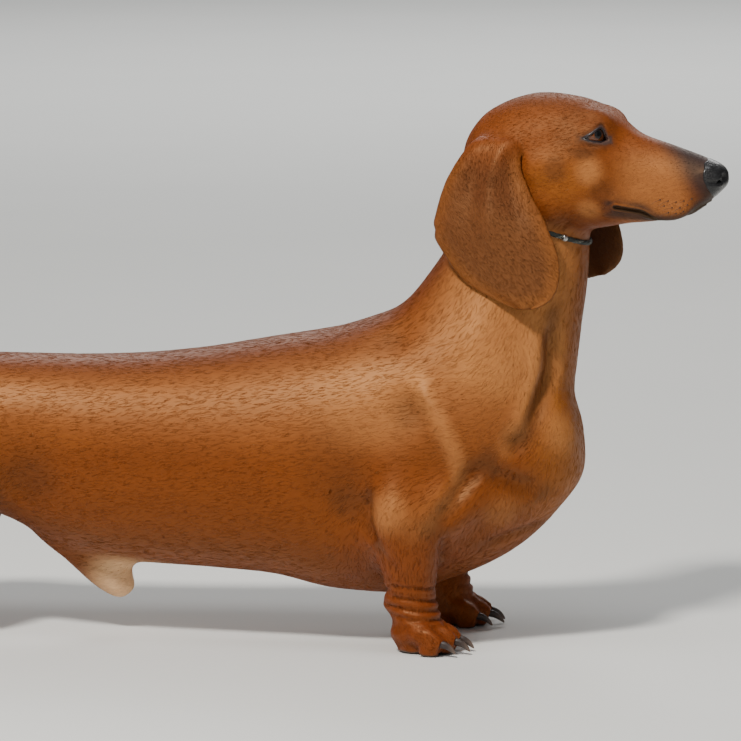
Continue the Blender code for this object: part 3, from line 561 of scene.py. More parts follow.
# %% [markdown]
# ## Sculpting
#
# The muscles and wrinkles of a fit dog show through so short a coat. By hand they would be
# brushed on in sculpt mode. Here every fold, ridge and hollow is a line or a spot on the skin
# with a width and a rise, drawn once and mirrored, so that it can be read and changed.

# %% Sculpting tools
class Chisel:
    """Adds up pushes along the normals, then moves the points once."""

    def __init__(self, piece, zone=None):
        self.piece = piece
        self.points = points_of(piece)
        self.normals = normals_of(piece)
        self.push = np.zeros(len(self.points))
        inside = np.ones(len(self.points), bool) if zone is None else zone(self.points)
        self.chosen = np.nonzero(inside)[0]
        self.near = self.points[self.chosen]

    def spot(self, place, radius, rise):
        gap = np.linalg.norm(self.near - place, axis=1) / radius
        self.push[self.chosen] += rise * np.exp(-gap * gap)

    def stroke(self, line, width, rise, lips=0.0, fade=0.25):
        """A ridge, or below nought a groove, along a line. lips raises both its banks."""
        gap, along = from_line(self.near, line)
        ends = ease(along, 0, fade) * ease(1 - along, 0, fade) if fade else 1.0
        t = gap / width
        shape = rise * np.exp(-t * t) + lips * np.exp(-((t - 2.1) ** 2))
        self.push[self.chosen] += shape * ends

    def done(self):
        move_to(self.piece, self.points + self.normals * self.push[:, None])


def mirrored(place, side):
    """A place drawn for the right side, on either side."""
    place = np.array(place, float)
    return place * (1, -side, 1)


print("sculpting tools ready")

# %% Body relief
# spots are a place, a radius and a rise, and strokes a line, a width and a rise
SPOTS = [
    ((0.188, -0.042, 0.208), 0.013, -0.0022),
    ((0.2026, -0.0665, 0.1637), 0.018, -0.0038),
    ((0.299, -0.034, 0.146), 0.019, 0.0040),
    ((0.2735, -0.054, 0.1405), 0.010, -0.0060),
    ((0.262, -0.050, 0.095), 0.016, 0.0022),
    ((0.1900, -0.0751, 0.0965), 0.018, 0.0056),
    ((0.162, -0.066, 0.100), 0.016, -0.0046),
    ((0.222, -0.067, 0.131), 0.014, -0.0012),
    ((-0.0557, -0.048, 0.109), 0.024, -0.0036),
    ((-0.09, -0.05, 0.125), 0.018, -0.0022),
    ((0.150, -0.060, 0.130), 0.034, -0.0020),
    ((0.262, -0.058, 0.185), 0.020, 0.0016),
]
STROKES = [
    ([(0.205, -0.056, 0.187), (0.2127, -0.0629, 0.1707), (0.2223, -0.0648, 0.1579),
      (0.233, -0.0656, 0.1363), (0.238, -0.0677, 0.118)], 0.0065, 0.0036),
    ([(0.283, -0.040, 0.222), (0.2835, -0.0405, 0.19), (0.279, -0.046, 0.167), (0.268, -0.057, 0.139)],
     0.0075, 0.0034),
    ([(0.2945, -0.033, 0.225), (0.2936, -0.0337, 0.1863), (0.2843, -0.0455, 0.1611),
      (0.2765, -0.0528, 0.1433)], 0.0070, -0.0058),
    ([(0.250, -0.052, 0.250), (0.248, -0.056, 0.225), (0.240, -0.060, 0.195)], 0.010, 0.0022),
    ([(0.255, -0.0611, 0.1321), (0.2424, -0.0663, 0.1186), (0.2338, -0.0712, 0.1052),
      (0.2249, -0.0738, 0.0935), (0.2175, -0.0739, 0.0865)], 0.0070, -0.0058),
    ([(0.2882, -0.0422, 0.1073), (0.2714, -0.0534, 0.1153), (0.2538, -0.0616, 0.1241)], 0.0070, -0.0042),
    ([(0.2456, -0.0419, 0.0687), (0.2598, -0.0378, 0.0731), (0.275, -0.030, 0.0782),
      (0.289, -0.012, 0.0835)], 0.0055, -0.0030),
    ([(0.2276, -0.0689, 0.0814), (0.2241, -0.057, 0.0693), (0.2208, -0.043, 0.0575)], 0.0042, -0.0032),
    ([(0.1772, -0.0701, 0.1085), (0.1746, -0.0702, 0.0991), (0.1764, -0.0687, 0.0835),
      (0.1828, -0.0717, 0.0735)], 0.0048, -0.0050),
    ([(0.236, -0.070, 0.112), (0.222, -0.074, 0.100), (0.207, -0.077, 0.086)], 0.009, 0.0018),
    ([(0.179, -0.070, 0.075), (0.190, -0.073, 0.062), (0.200, -0.071, 0.055)], 0.0035, -0.0014),
    ([(-0.165, -0.044, 0.185), (-0.16, -0.055, 0.15), (-0.172, -0.058, 0.11)], 0.008, -0.0026),
    ([(-0.105, -0.062, 0.12), (-0.108, -0.065, 0.10), (-0.098, -0.060, 0.082)], 0.010, 0.0024),
    ([(-0.19, -0.05, 0.20), (-0.205, -0.056, 0.16), (-0.20, -0.058, 0.12)], 0.012, 0.0018),
    ([(0.2707, -0.0426, 0.3386), (0.2704, -0.0448, 0.3309), (0.2733, -0.0467, 0.3179),
      (0.2795, -0.0493, 0.3057)], 0.0040, -0.0022),
]
body = Chisel(skin)
for side in SIDES.values():
    for place, radius, rise in SPOTS:
        body.spot(mirrored(place, side), radius, rise)
    for line, width, rise in STROKES:
        body.stroke([mirrored(p, side) for p in line], width, rise)
body.done()
print("body relief", len(SPOTS), "spots and", len(STROKES), "strokes a side")

# %% [markdown]
# ## Wrinkles of the pasterns
#
# A short-legged dog wears loose skin that gathers in rings above its feet. Each ring is part
# of a circle round the leg, laid on the skin and cut in as a groove with raised banks, which
# is easier to space evenly than strokes drawn one by one.

# %% Wrinkles of the pasterns
def ring_line(centre, reach, height, tilt, start, end, steps=14):
    """Part of a level ring round a leg, tilted fore and aft. Angles from straight ahead."""
    line = []
    for k in range(steps + 1):
        angle = math.radians(start + (end - start) * k / steps)
        x, y = centre[0] + reach * math.cos(angle), centre[1] + reach * math.sin(angle)
        line.append((x, y, height + tilt * math.cos(angle)))
    return line


FORE_LEG_X = {"right": 0.2035, "left": 0.2125}
HIND_LEG_X = {"right": -0.179, "left": -0.185}
folds = Chisel(skin, lambda p: (p[:, 2] < 0.08) & (np.abs(p[:, 1]) > 0.02))


# height, rise and half the angle that it spans, for each ring of a foreleg
FORE_RINGS = (
    (0.0455, -0.0007 * 1.15, 100), (0.0370, -0.0012 * 1.15, 120),
    (0.0300, -0.0013 * 1.15, 125), (0.0235, -0.0011 * 1.15, 115),
)
smooth_legs = tree_of(skin)


def wrap(line):
    """Brings a line onto the skin."""
    return [np.array(smooth_legs.find_nearest(Vector(p))[0]) for p in line]


for word, side in SIDES.items():
    leg = (FORE_LEG_X[word], 0.0525 * side)
    turn = 60 * side
    for height, rise, spread in FORE_RINGS:
        line = ring_line(leg, 0.016, height, -0.002, turn - spread, turn + spread)
        folds.stroke(wrap(line), 0.0013, rise, lips=0.00022, fade=0.3)
    back_fold = ring_line(leg, 0.016, 0.046, 0.004, 180 - 55, 180 + 55)
    folds.stroke(wrap(back_fold), 0.0022, -0.0012, lips=0.0006, fade=0.3)
    hock = (HIND_LEG_X[word], 0.047 * side)
    for height, rise in ((0.052, -0.0009), (0.020, -0.0007)):
        line = ring_line(hock, 0.012, height, -0.003, -75, 75)
        folds.stroke(wrap(line), 0.0017, rise, lips=0.0004, fade=0.3)
folds.done()
print("pastern folds pushed", round(float(np.abs(folds.push).max()) * 1000, 2), "mm at most")

# %% [markdown]
# ## Mouth, nostrils and eyelids
#
# The closed mouth is a soft groove under the upper lip. The nostrils are commas, open in
# front and slit at the side. The lids have a crease above and a small fold below. These could
# be dents in a bump map, but the head is seen close to, so they are moved points.

# %% Face
def head_line(rows, side):
    """A line drawn in the head's millimetres for the left side, placed in the model."""
    return in_model([(x, y * side, z) for x, y, z in rows])


LID_HALF = 9.0
UPPER_LID = (
    (-1, -0.75, -0.5, -0.25, 0, 0.25, 0.44, 0.62, 0.8, 1),
    (-2.4, -1.0, 0.5, 2.0, 3.5, 4.8, 5.3, 4.2, 1.2, -3.4),
)
LOWER_LID = ((-1, -0.6, -0.2, 0.2, 0.6, 1), (-2.4, -4.0, -4.8, -5.1, -4.9, -3.4))


def lid_edge(t):
    """Heights of the upper and lower lid's edge, in millimetres, for t from -1 to 1."""
    return np.interp(t, *UPPER_LID), np.interp(t, *LOWER_LID)


CORNER_FOLD = [(86, 27, -27), (80, 29.5, -24), (75, 31, -22)]
NOSTRIL_SLIT = [(156.5, 7, -8.6), (153.2, 12.2, -10.4), (148, 15.4, -9.6), (143.5, 16.6, -6.8)]
BEHIND_LIP = ((0.3372, -0.0401, 0.305), (0.3294, -0.0418, 0.3096), (0.319, -0.0436, 0.307))
UNDER_CHEEK = ((0.3357, -0.0373, 0.297), (0.328, -0.040, 0.296), (0.319, -0.041, 0.290))
face = Chisel(skin, lambda p: above_collar(p) > 0.02)
for word, side in SIDES.items():
    face.stroke(LIPS[word], 0.0010, -0.0019, lips=0.0004, fade=0)
    face.stroke(head_line(CORNER_FOLD, side), 0.0018, -0.0011, lips=0.0003, fade=0.35)
    face.stroke(head_line(NOSTRIL_SLIT, side), 0.0013, -0.0036, lips=0.0005, fade=0.12)
    face.spot(in_model([(160, 6.0 * side, -6.2)])[0], 0.0030, -0.0050)
    face.stroke(head_line([(150, 9, 2.5), (145, 13.5, -0.5), (142, 16, -4.5)], side), 0.0026, 0.0006)
    centre, look, forward, upward = eye_frame(side)
    shell = EYE_RADIUS + LID_DEPTH
    creases = [(3.1, -1.0, 0.95, -0.0010, 0.0010), (-3.0, -0.8, 0.85, -0.0006, 0.0011)]
    for lift, start, end, rise, width in creases:
        line = []
        for k in range(13):
            t = start + (end - start) * k / 12
            upper, lower = lid_edge(t)
            height = (upper * 0.75 if lift > 0 else lower) + lift
            flat = centre + forward * (LID_HALF * t) + upward * height
            out = flat + look * math.sqrt(max(4.0, shell ** 2 - np.sum((flat - centre) ** 2)))
            line.append(out)
        face.stroke(in_model(line), width, rise, lips=0.0003, fade=0.25)
    tear = centre + forward * (LID_HALF + 1.2) - upward * 4.2 + look * 6
    face.spot(in_model([tear])[0], 0.0026, -0.0012)
    face.stroke(head_line([(92, 15, 12), (84, 21, 6), (72, 27, 2), (58, 31, 2)], side), 0.004, 0.0012)
    face.stroke([mirrored(p, side) for p in BEHIND_LIP], 0.0045, -0.0015)
    face.stroke([mirrored(p, side) for p in UNDER_CHEEK], 0.0040, -0.0012)
    face.spot(mirrored((0.3255, -0.0430, 0.3183), side), 0.009, 0.0012)
    face.spot(mirrored((0.3226, -0.0386, 0.2934), side), 0.007, 0.0010)
face.stroke(in_model([(161, 0, -3), (159, 0, -12), (154, 0, -19), (148, 0, -24.5)]), 0.0008, -0.0012, fade=0.1)
face.stroke(in_model([(120, 0, 17), (95, 0, 26), (78, 0, 43), (60, 0, 49), (35, 0, 51)]), 0.006, -0.0007)
face.done()
print("face pushed", round(float(np.abs(face.push).max()) * 1000, 2), "mm at most")

# %% [markdown]
# ## Fewer faces where the body is plain
#
# The trunk, neck, thighs and tail are broad curves. A Decimate modifier would thin the folds
# of the face as well, so the plain faces are selected first. They keep about one in twelve,
# and the whole skin stays under 200,000 triangles.

# %% Lighten the trunk
PLAIN_KEPT = 0.085
centres = face_centres(skin)
plain = above_collar(centres) < -0.004
plain &= ~((centres[:, 2] < 0.052) & (np.abs(centres[:, 1]) > 0.03))
select_faces(skin, plain)
bpy.ops.mesh.decimate(ratio=PLAIN_KEPT)
bpy.ops.object.mode_set(mode="OBJECT")
centres = face_centres(skin)
fine = above_collar(centres) > -0.004
print("fine faces in the head", int(fine.sum()), "whole skin", len(skin.data.polygons))
points = points_of(skin)
off_head = 1 - ease(above_collar(points), -0.012, -0.004)
off_feet = 1 - ease(0.058 - points[:, 2], 0, 0.006)
share = 0.4 * off_head * off_feet
move_to(skin, relax(points, edges_of(skin), share, 4))
skin.data.calc_loop_triangles()
print("skin", len(skin.data.loop_triangles), "triangles")

# %% [markdown]
# ## Ears
#
# A drop ear is a leaf of thin leather, set on high, folded softly from its root and hanging
# flat beside the cheek. It is a grid, shaped by a table of its edges, given a thickness that
# thins towards the rim, and grown together with the skin at its root.

# %% Ear leaf
# how far out, height over the pivot, rear edge, front edge, in millimetres of the head's frame
EAR = np.array([
    (25, 17, -7, 19), (34, 21.5, -8, 23), (40.5, 20, -10, 25), (44.5, 13, -15, 25),
    (46.5, 4, -21, 25.5), (48, -7, -27, 28.5), (50, -17, -30.5, 33.5), (52, -26, -33, 39),
    (53.5, -34, -35, 43.5), (54.5, -42, -36.5, 47), (54.5, -50, -32, 50.5), (54.5, -58, -27, 52.8),
    (54, -66, -22, 53.5), (53.5, -74, -14.5, 53), (53, -80, -6, 51.5), (52.5, -85.5, 5.5, 48.5),
    (52, -90, 15.5, 43), (51.7, -92.8, 24, 34.5),
], float)
EAR_ROWS, EAR_COLUMNS = 76, 54
EAR_SWING = {"right": 0.0, "left": 12.0}
EAR_LIFT = {"right": 0.0, "left": 5.0}
LEATHER = 2.7 * MM
EAR_CLEAR = 2.6 * MM


# each fold's rise, where it starts across the leaf, its slope and breadth, and how far down
# it begins, is full, wanes and is gone
EAR_FOLDS = (
    (2.2, -0.45, 0.75, 0.20, 0.08, 0.25, 0.45, 0.80),
    (-1.8, -0.78, 0.50, 0.15, 0.10, 0.30, 0.50, 0.85),
    (1.5, 0.62, 0.25, 0.18, 0.15, 0.35, 0.50, 0.75),
    (-1.6, 0.25, 0.10, 0.22, 0.12, 0.30, 0.50, 0.80),
)


def ear_place(word, side, across, down):
    """A point's place on the leaf: across from -1 behind to 1 in front, down from 0 to 1."""
    run = np.concatenate([[0], np.cumsum(np.hypot(np.diff(EAR[:, 0]), np.diff(EAR[:, 1])))])
    at = down ** 0.94 * run[-1]
    out, height, rear, front = (np.interp(at, run, EAR[:, k]) for k in range(4))
    hang = np.clip((22 - height) / 40, 0, 1)
    spread = np.clip((front - rear) / 75, 0, 1) ** 1.5
    curl = np.where(across > 0, 6.5, 8.0) * across ** 2 * (0.35 + 0.65 * hang) * spread
    curl += 8 * (1 - hang) * across ** 4 * np.where(across > 0, 1, 0.5)
    fold = 0
    for rise, start, slope, breadth, begins, full, wanes, gone in EAR_FOLDS:
        ridge = np.exp(-((across + start + slope * down) / breadth) ** 2)
        fold = fold + rise * ridge * ease(down, begins, full) * ease(-down, -gone, -wanes)
    fold += 1.0 * np.sin(5 * across + 2) * ease(down, 0.6, 1)
    notch = 2.5 * np.exp(-((down - 0.585) / 0.025) ** 2) * ease(-across, 0.75, 1)
    x = rear + (front - rear) * (across + 1) / 2 + notch
    z = height
    swing = math.radians(EAR_SWING[word])
    ahead, drop = x - 8, z - 18
    x = 8 + ahead * math.cos(swing) - drop * math.sin(swing) - hang
    z = 18 + drop * math.cos(swing) + ahead * math.sin(swing) + EAR_LIFT[word] * hang
    return np.column_stack([x, side * (out - curl + fold), z])


def make_ear(word, side, head_tree):
    bpy.ops.mesh.primitive_grid_add(x_subdivisions=EAR_COLUMNS, y_subdivisions=EAR_ROWS, size=2)
    leaf = bpy.context.object
    leaf.name = f"ear_leaf_{word}"
    grid = points_of(leaf)
    across, down = grid[:, 0], (1 - grid[:, 1]) / 2
    points = in_model(ear_place(word, side, across, down))
    outward = np.array([0.17, side * 0.985, 0])
    wanted = EAR_CLEAR * ease(down, 0.22, 0.36)
    push = np.zeros(len(points))
    for k, point in enumerate(points):
        if down[k] > 0.2:
            found, normal, _, _ = head_tree.find_nearest(Vector(point), 0.02)
            if found is not None:
                gap = (Vector(point) - found).dot(normal)
                push[k] = max(0.0, wanted[k] - gap)
    push = relax(np.column_stack([push] * 3), edges_of(leaf), np.full(len(push), 0.5), 12)[:, 0]
    points = points + outward * push[:, None] * 1.4
    rim = np.maximum(abs(across), abs(grid[:, 1])) > 0.999
    points = relax(points, edges_of(leaf), 0.5 * (1 - rim), 3)
    move_to(leaf, points)
    rim = np.minimum.reduce([(1 - abs(across)) / 0.13, (1 - down) / 0.09, np.ones(len(down))])
    full = 0.42 + 0.58 * np.sqrt(np.clip(rim, 0, 1))
    group = leaf.vertex_groups.new(name="thick")
    for index, weight in enumerate(full):
        group.add([index], float(weight), "REPLACE")
    apply(leaf, "SOLIDIFY", thickness=LEATHER, offset=0, vertex_group="thick", use_even_offset=False)
    leaf.vertex_groups.clear()
    apply(leaf, "SMOOTH", factor=0.5, iterations=2)
    face_outwards(leaf)
    return leaf


def keep(piece, name, kind, values):
    """Stores a value for each point as a named attribute."""
    field = "value" if kind == "FLOAT" else "vector" if kind == "FLOAT_VECTOR" else "color"
    layer = piece.data.attributes.get(name) or piece.data.attributes.new(name, kind, "POINT")
    layer.data.foreach_set(field, np.asarray(values, np.float32).ravel())


skin_tree = tree_of(skin)
ears = {word: make_ear(word, side, skin_tree) for word, side in SIDES.items()}
ear_trees = {word: tree_of(leaf) for word, leaf in ears.items()}
for leaf in ears.values():
    apply(skin, "BOOLEAN", operation="UNION", solver="MANIFOLD", object=leaf)
    bpy.data.objects.remove(leaf)
print("skin with ears", len(skin.data.vertices), "points")

# %% Blend the ear roots
points = points_of(skin)
on_ear = np.zeros(len(points))
seam = np.zeros(len(points))
for k in np.nonzero(above_collar(points) > -0.085)[0]:
    point = Vector(points[k])
    from_skin = skin_tree.find_nearest(point, 0.02)[3]
    for word in SIDES:
        from_ear = ear_trees[word].find_nearest(point, 0.02)[3]
        if from_ear is None:
            continue
        if from_ear < 0.0001:
            on_ear[k] = 1
        if from_skin is not None and points[k, 2] > 0.315:
            seam[k] = max(seam[k], 1 - max(from_ear, from_skin) / 0.0055)
seam = np.clip(seam, 0, 1)
move_to(skin, relax(points, edges_of(skin), 0.5 * seam, 24))
three_columns = np.column_stack([on_ear] * 3)
spread_ear = relax(three_columns, edges_of(skin), np.full(len(points), 0.5), 6)[:, 0]
keep(skin, "ear", "FLOAT", spread_ear)
print("ear points", int(on_ear.sum()))

# %% Eye openings
LID_STEPS = 24


def lid_outline():
    """The almond between the lids, as pairs of millimetres: over to the front, and up."""
    spread = [-math.cos(math.pi * k / LID_STEPS) for k in range(LID_STEPS + 1)]
    upper = [(LID_HALF * t, lid_edge(t)[0]) for t in spread]
    lower = [(LID_HALF * t, lid_edge(t)[1]) for t in spread]
    ring = np.array(upper + lower[-2:0:-1])
    for _ in range(2):
        ring = 0.5 * ring + 0.25 * (np.roll(ring, 1, axis=0) + np.roll(ring, -1, axis=0))
    return [tuple(row) for row in ring]


def eye_cutter(side):
    """A prism through the almond, made from a filled circle, drawn out along the look."""
    outline = lid_outline()
    bpy.ops.mesh.primitive_circle_add(vertices=len(outline), radius=1, fill_type="NGON")
    tool = bpy.context.object
    bpy.ops.object.mode_set(mode="EDIT")
    bpy.ops.mesh.extrude_region_move(TRANSFORM_OT_translate={"value": (0, 0, 1)})
    bpy.ops.mesh.select_all(action="SELECT")
    bpy.ops.mesh.normals_make_consistent(inside=False)
    bpy.ops.object.mode_set(mode="OBJECT")
    centre, look, forward, upward = eye_frame(side)
    flat = np.array([(v.co.x, v.co.y) for v in tool.data.vertices])
    raised = np.array([v.co.z for v in tool.data.vertices]) > 0.5
    step = np.argmin(np.linalg.norm(flat[:, None] - flat[None, :len(outline)], axis=2), axis=1)
    placed = []
    for k, high in zip(step, raised):
        over, up = outline[k]
        placed.append(centre + forward * over + upward * up + look * (24 if high else 2))
    move_to(tool, in_model(placed))
    face_outwards(tool)
    return tool


for side in SIDES.values():
    tool = eye_cutter(side)
    apply(skin, "BOOLEAN", operation="DIFFERENCE", solver="EXACT", object=tool)
    bpy.data.objects.remove(tool)
points = points_of(skin)
share = np.zeros(len(points))
for side in SIDES.values():
    centre, look, forward, upward = eye_frame(side)
    local = in_head(points) - centre
    reach = np.linalg.norm(local, axis=1)
    rim = np.array([forward * over + upward * up for over, up in lid_outline()])
    near = np.nonzero(reach < 17)[0]
    flat = local[near] - np.outer(local[near] @ look, look)
    gap = np.min(np.linalg.norm(flat[:, None] - rim[None], axis=2), axis=1)
    share[near] = np.maximum(share[near], 0.5 * (gap < 1.3) * (reach[near] > EYE_RADIUS + 0.9))
move_to(skin, relax(points, edges_of(skin), share, 5))
only(skin)
bpy.ops.object.mode_set(mode="EDIT")
bpy.ops.mesh.select_mode(type="VERT")
bpy.ops.mesh.select_all(action="SELECT")
bpy.ops.mesh.remove_doubles(threshold=0.000002)
bpy.ops.mesh.select_all(action="DESELECT")
bpy.ops.mesh.select_non_manifold()
open_points = skin.data.total_vert_sel
bpy.ops.mesh.fill_holes(sides=0)
bpy.ops.object.mode_set(mode="OBJECT")
print("eye openings cut; skin", len(skin.data.vertices), "points,", open_points, "were open")

spread_ear = np.empty(len(skin.data.vertices), np.float32)
skin.data.attributes["ear"].data.foreach_get("value", spread_ear)
only(skin)
bpy.ops.object.shade_smooth()
skin.data.calc_loop_triangles()
print("skin", len(skin.data.loop_triangles), "triangles")

# %% [markdown]
# ## The lie of the coat
#
# Hair runs from the nose back over the skull, down the neck and the legs and along the trunk
# to the tail. One angle in the dog's upright plane gives its way at every point. The same
# turns, undone, straighten the dog out, and a pattern drawn on that straight dog follows the
# hair wherever it bends.

# %% Lie of the coat
TURNS = [
    ((0.0, 0, 0.13), 11, lambda p, ear: np.ones(len(p))),
    ((0.25, 0, 0.20), 52, lambda p, ear: ease((p - (0.24, 0, 0.19)) @ (0.36, 0, 0.93), -0.03, 0.05)),
    ((0.27, 0, 0.31), -50, lambda p, ear: ease(above_collar(p), -0.01, 0.03)),
    ((0.27, 0, 0.33), 72, lambda p, ear: ear),
    ((0.205, 0, 0.10), 76, lambda p, ear: ease(-p[:, 2], -0.14, -0.06) * ease(np.abs(p[:, 1]), 0.03, 0.045)
        * ease(p[:, 0], 0.13, 0.17)),
    ((0.28, 0, 0.15), 55, lambda p, ear: ease(p[:, 0], 0.235, 0.295) * ease(-p[:, 2], -0.23, -0.18)),
    ((-0.14, 0, 0.12), 62, lambda p, ear: ease(-p[:, 2], -0.16, -0.09) * ease(-p[:, 0], 0.05, 0.10)
        * ease(np.abs(p[:, 1]), 0.01, 0.03) * ease(p[:, 0], -0.3, -0.25)),
]


def lie_of(points, ear):
    """The way the hair points, and each point's place on the straightened dog."""
    straight = points.copy()
    total = np.zeros(len(points))
    for pivot, degrees, weight in TURNS:
        angle = math.radians(degrees) * weight(points, ear)
        total += angle
        centre = np.array(pivot)
        x, z = straight[:, 0] - centre[0], straight[:, 2] - centre[2]
        straight[:, 0] = centre[0] + x * np.cos(angle) + z * np.sin(angle)
        straight[:, 2] = centre[2] - x * np.sin(angle) + z * np.cos(angle)
    toes = ease(-points[:, 2], -0.026, -0.012) * ease(np.abs(points[:, 1]), 0.028, 0.034)
    total += math.radians(55) * toes
    return np.column_stack([-np.cos(total), np.zeros(len(total)), -np.sin(total)]), straight


points = points_of(skin)
way, straight = lie_of(points, spread_ear)
keep(skin, "lie", "FLOAT_VECTOR", straight)
print("lie of the coat", np.round(straight.min(0), 3), np.round(straight.max(0), 3))

# %% [markdown]
# ## Markings and painted light
#
# The coat is one red, from gold on the belly and throat to a darker sable along the back and
# on the ears; part of the belly's gold is a painted bounce light. Lips, lid rims and pads are
# bare and dark. Light and shade are painted in as well: paler highlights on lit sides and raised
# forms, darker shade in folds and hollows, under the lips and on the inner faces of the ears.
# Each marking and each painted light is a share from 0 to 1 at every point, mixed over the base in turn.

# %% Markings
# Two of these colours are painted light, not hair: a pale straw for painted highlights and a dark brown for
# painted shade in folds and hollows. The dusk and night browns also paint shade inside the ears and under the
# lips.
COLOURS = {
    "red": rgb(112, 50, 8), "gold": rgb(146, 84, 26), "sable": rgb(80, 48, 34), "ear": rgb(96, 52, 28),
    "leg": rgb(112, 48, 14), "cream": rgb(226, 184, 140), "dusk": rgb(50, 34, 30), "bare": rgb(20, 16, 17),
    "pad": rgb(48, 38, 36), "cheek": rgb(142, 78, 28), "lid": rgb(62, 48, 48), "night": rgb(17, 19, 33),
    "painted_shade": rgb(70, 34, 16), "painted_highlight": rgb(188, 126, 72),
}
# share of painted highlight or painted shade for each metre of sculpted rise
FORM_SHADE = 105



def markings_and_painted_light(points, normals, ear):
    """The coat's colour at each point, with painted highlights and painted shade laid over it."""
    colour = np.tile(np.array(COLOURS["red"]), (len(points), 1))

    def lay(name, share):
        share = np.clip(share, 0, 1)[:, None]
        colour[:] = colour * (1 - share) + np.array(COLOURS[name]) * share

    x, y, z = points.T
    head = in_head(points)
    on_head = ease(above_collar(points), 0.0, 0.02) * (1 - ear)
    trunk = ease(-above_collar(points), -0.005, 0.01)
    # gold on the underside: the belly hair is paler, and part of this gold is a painted bounce light from
    # below
    under = ease(-normals[:, 2], 0.1, 0.95) * trunk
    lay("gold", 0.15 * under * ease(z, 0.02, 0.05))
    lay("gold", 0.55 * ease(x, 0.27, 0.315) * ease(-z, -0.235, -0.15) * trunk)
    lay("gold", 0.35 * ease(normals[:, 0], 0.3, 0.9) * ease(x, 0.24, 0.29) * trunk)
    top = ease(normals[:, 2], 0.55, 1.0) * ease(z, 0.15, 0.19) * trunk
    lay("sable", 0.42 * top)
    nape = ease(-normals[:, 0], 0.45, 0.95) * ease(z, 0.20, 0.25) * ease(x, 0.18, 0.22) * trunk
    lay("sable", 0.55 * nape)
    fore = ease(-z, -0.10, -0.055) * ease(np.abs(y), 0.03, 0.042) * ease(x, 0.14, 0.17)
    hind = ease(-z, -0.09, -0.05) * ease(np.abs(y), 0.03, 0.04) * ease(-x, 0.12, 0.14)
    lay("leg", 0.85 * np.maximum(fore, 0.6 * hind))
    lay("sable", 0.35 * ease(-x, 0.2, 0.3))
    sheath = ease(-np.hypot(x, (z - 0.035) * 0.9), -0.034, -0.006)
    sheath = sheath * ease(-np.abs(y), -0.03, -0.018) * ease(-z, -0.062, -0.045)
    lay("cream", 0.9 * sheath)
    # painted highlight on the out-facing sides that catch the light: neck sides, shoulder and upper flank; the
    # neck sides of a red coat are also a little paler
    lit_side = ease(np.abs(normals[:, 1]), 0.35, 0.85) * trunk
    lay("painted_highlight", 0.50 * lit_side * ease(x, 0.20, 0.25) * ease(z, 0.15, 0.20))
    lay("painted_highlight", 0.30 * lit_side * ease(-np.hypot(x - 0.175, (z - 0.165) * 1.4), -0.055, -0.015))
    lay("painted_highlight", 0.18 * lit_side * ease(z, 0.12, 0.16))
    # painted light on the sculpted relief: each raised spot or ridge gets a painted highlight and each fold or
    # hollow a painted shade, as strong as its rise
    for side in SIDES.values():
        for line, width, rise in STROKES:
            gap = from_line(points, [mirrored(p, side) for p in line])[0]
            share = ease(-gap, -1.6 * width, -0.3 * width) * trunk
            lay("painted_highlight" if rise > 0 else "painted_shade", share * min(0.6, abs(rise) * FORM_SHADE))
        for place, radius, rise in SPOTS:
            gap = np.linalg.norm(points - mirrored(place, side), axis=1)
            share = ease(-gap, -radius * 1.1, -radius * 0.3) * trunk
            lay("painted_highlight" if rise > 0 else "painted_shade", share * min(0.5, abs(rise) * FORM_SHADE))
    lay("cheek", 0.6 * on_head * ease(-np.hypot(head[:, 0] - 52, (head[:, 2] + 4) * 1.2), -34, -10))
    lay("sable", 0.5 * on_head * ease(head[:, 2], 36, 50) * ease(-head[:, 0], -95, -60))
    # painted highlights on the cheekbone below the eye and on the lower cheek
    lay("painted_highlight", 0.45 * on_head * ease(-np.hypot(head[:, 0] - 70, (head[:, 2] + 1) * 0.9), -13, -3))
    lay("painted_highlight", 0.40 * on_head * ease(-np.hypot(head[:, 0] - 68, (head[:, 2] + 27) * 1.1), -11, -3))
    # painted shade in the cheek's hollows behind, below and in front of the eye
    lay("painted_shade", 0.5 * on_head * ease(-np.hypot((head[:, 0] - 48) * 1.2, head[:, 2] - 2), -14, -4))
    lay("painted_shade", 0.55 * on_head * ease(-np.hypot(head[:, 0] - 66, (head[:, 2] - 11) * 1.8), -12, -3))
    lay("painted_shade", 0.5 * on_head * ease(-np.hypot(head[:, 0] - 78, (head[:, 2] + 17) * 1.6), -14, -4))
    # painted highlight along the lower side of the muzzle
    along_muzzle = ease(head[:, 0], 76, 100) * ease(-head[:, 0], -146, -126)
    lay("painted_highlight", 0.32 * on_head * along_muzzle * ease(-head[:, 2], -18, 0))
    bridge = ease(normals[:, 2], 0.55, 0.95) * ease(head[:, 0], 90, 128) * on_head
    lay("dusk", 0.5 * bridge)
    mask = ease(head[:, 0] - 127 - (9 - head[:, 2]) * 0.62, -16, 5)
    lay("night", 0.94 * mask * on_head)
    # a broad painted shade round the eye and brow
    lay("painted_shade", 0.35 * on_head * ease(-np.hypot(head[:, 0] - 64, head[:, 2] - 26), -26, -12))
    lay("ear", 0.85 * ear * ease(-head[:, 2], -24, 4))
    lay("gold", 0.30 * ear * rim_share)
    lay("painted_shade", 0.30 * ear * (1 - rim_share) * ease(-head[:, 2], -14, 8))
    # painted shade on the inner faces of the ears, which turn towards the neck
    lay("dusk", 0.65 * ear * ease(-normals[:, 1] * np.sign(y), 0.1, 0.6))
    bare, lids = 0.12 * mask * on_head, np.zeros(len(points))
    near_head = np.nonzero(above_collar(points) > 0.01)[0]
    for word, side in SIDES.items():
        gap, along = from_line(points[near_head], LIPS[word])
        width = 0.0015 + 0.0010 * ease(along, 0.15, 0.5) + 0.0008 * along
        bare[near_head] = np.maximum(bare[near_head], ease(-gap, -width * 1.7, -width * 0.9))
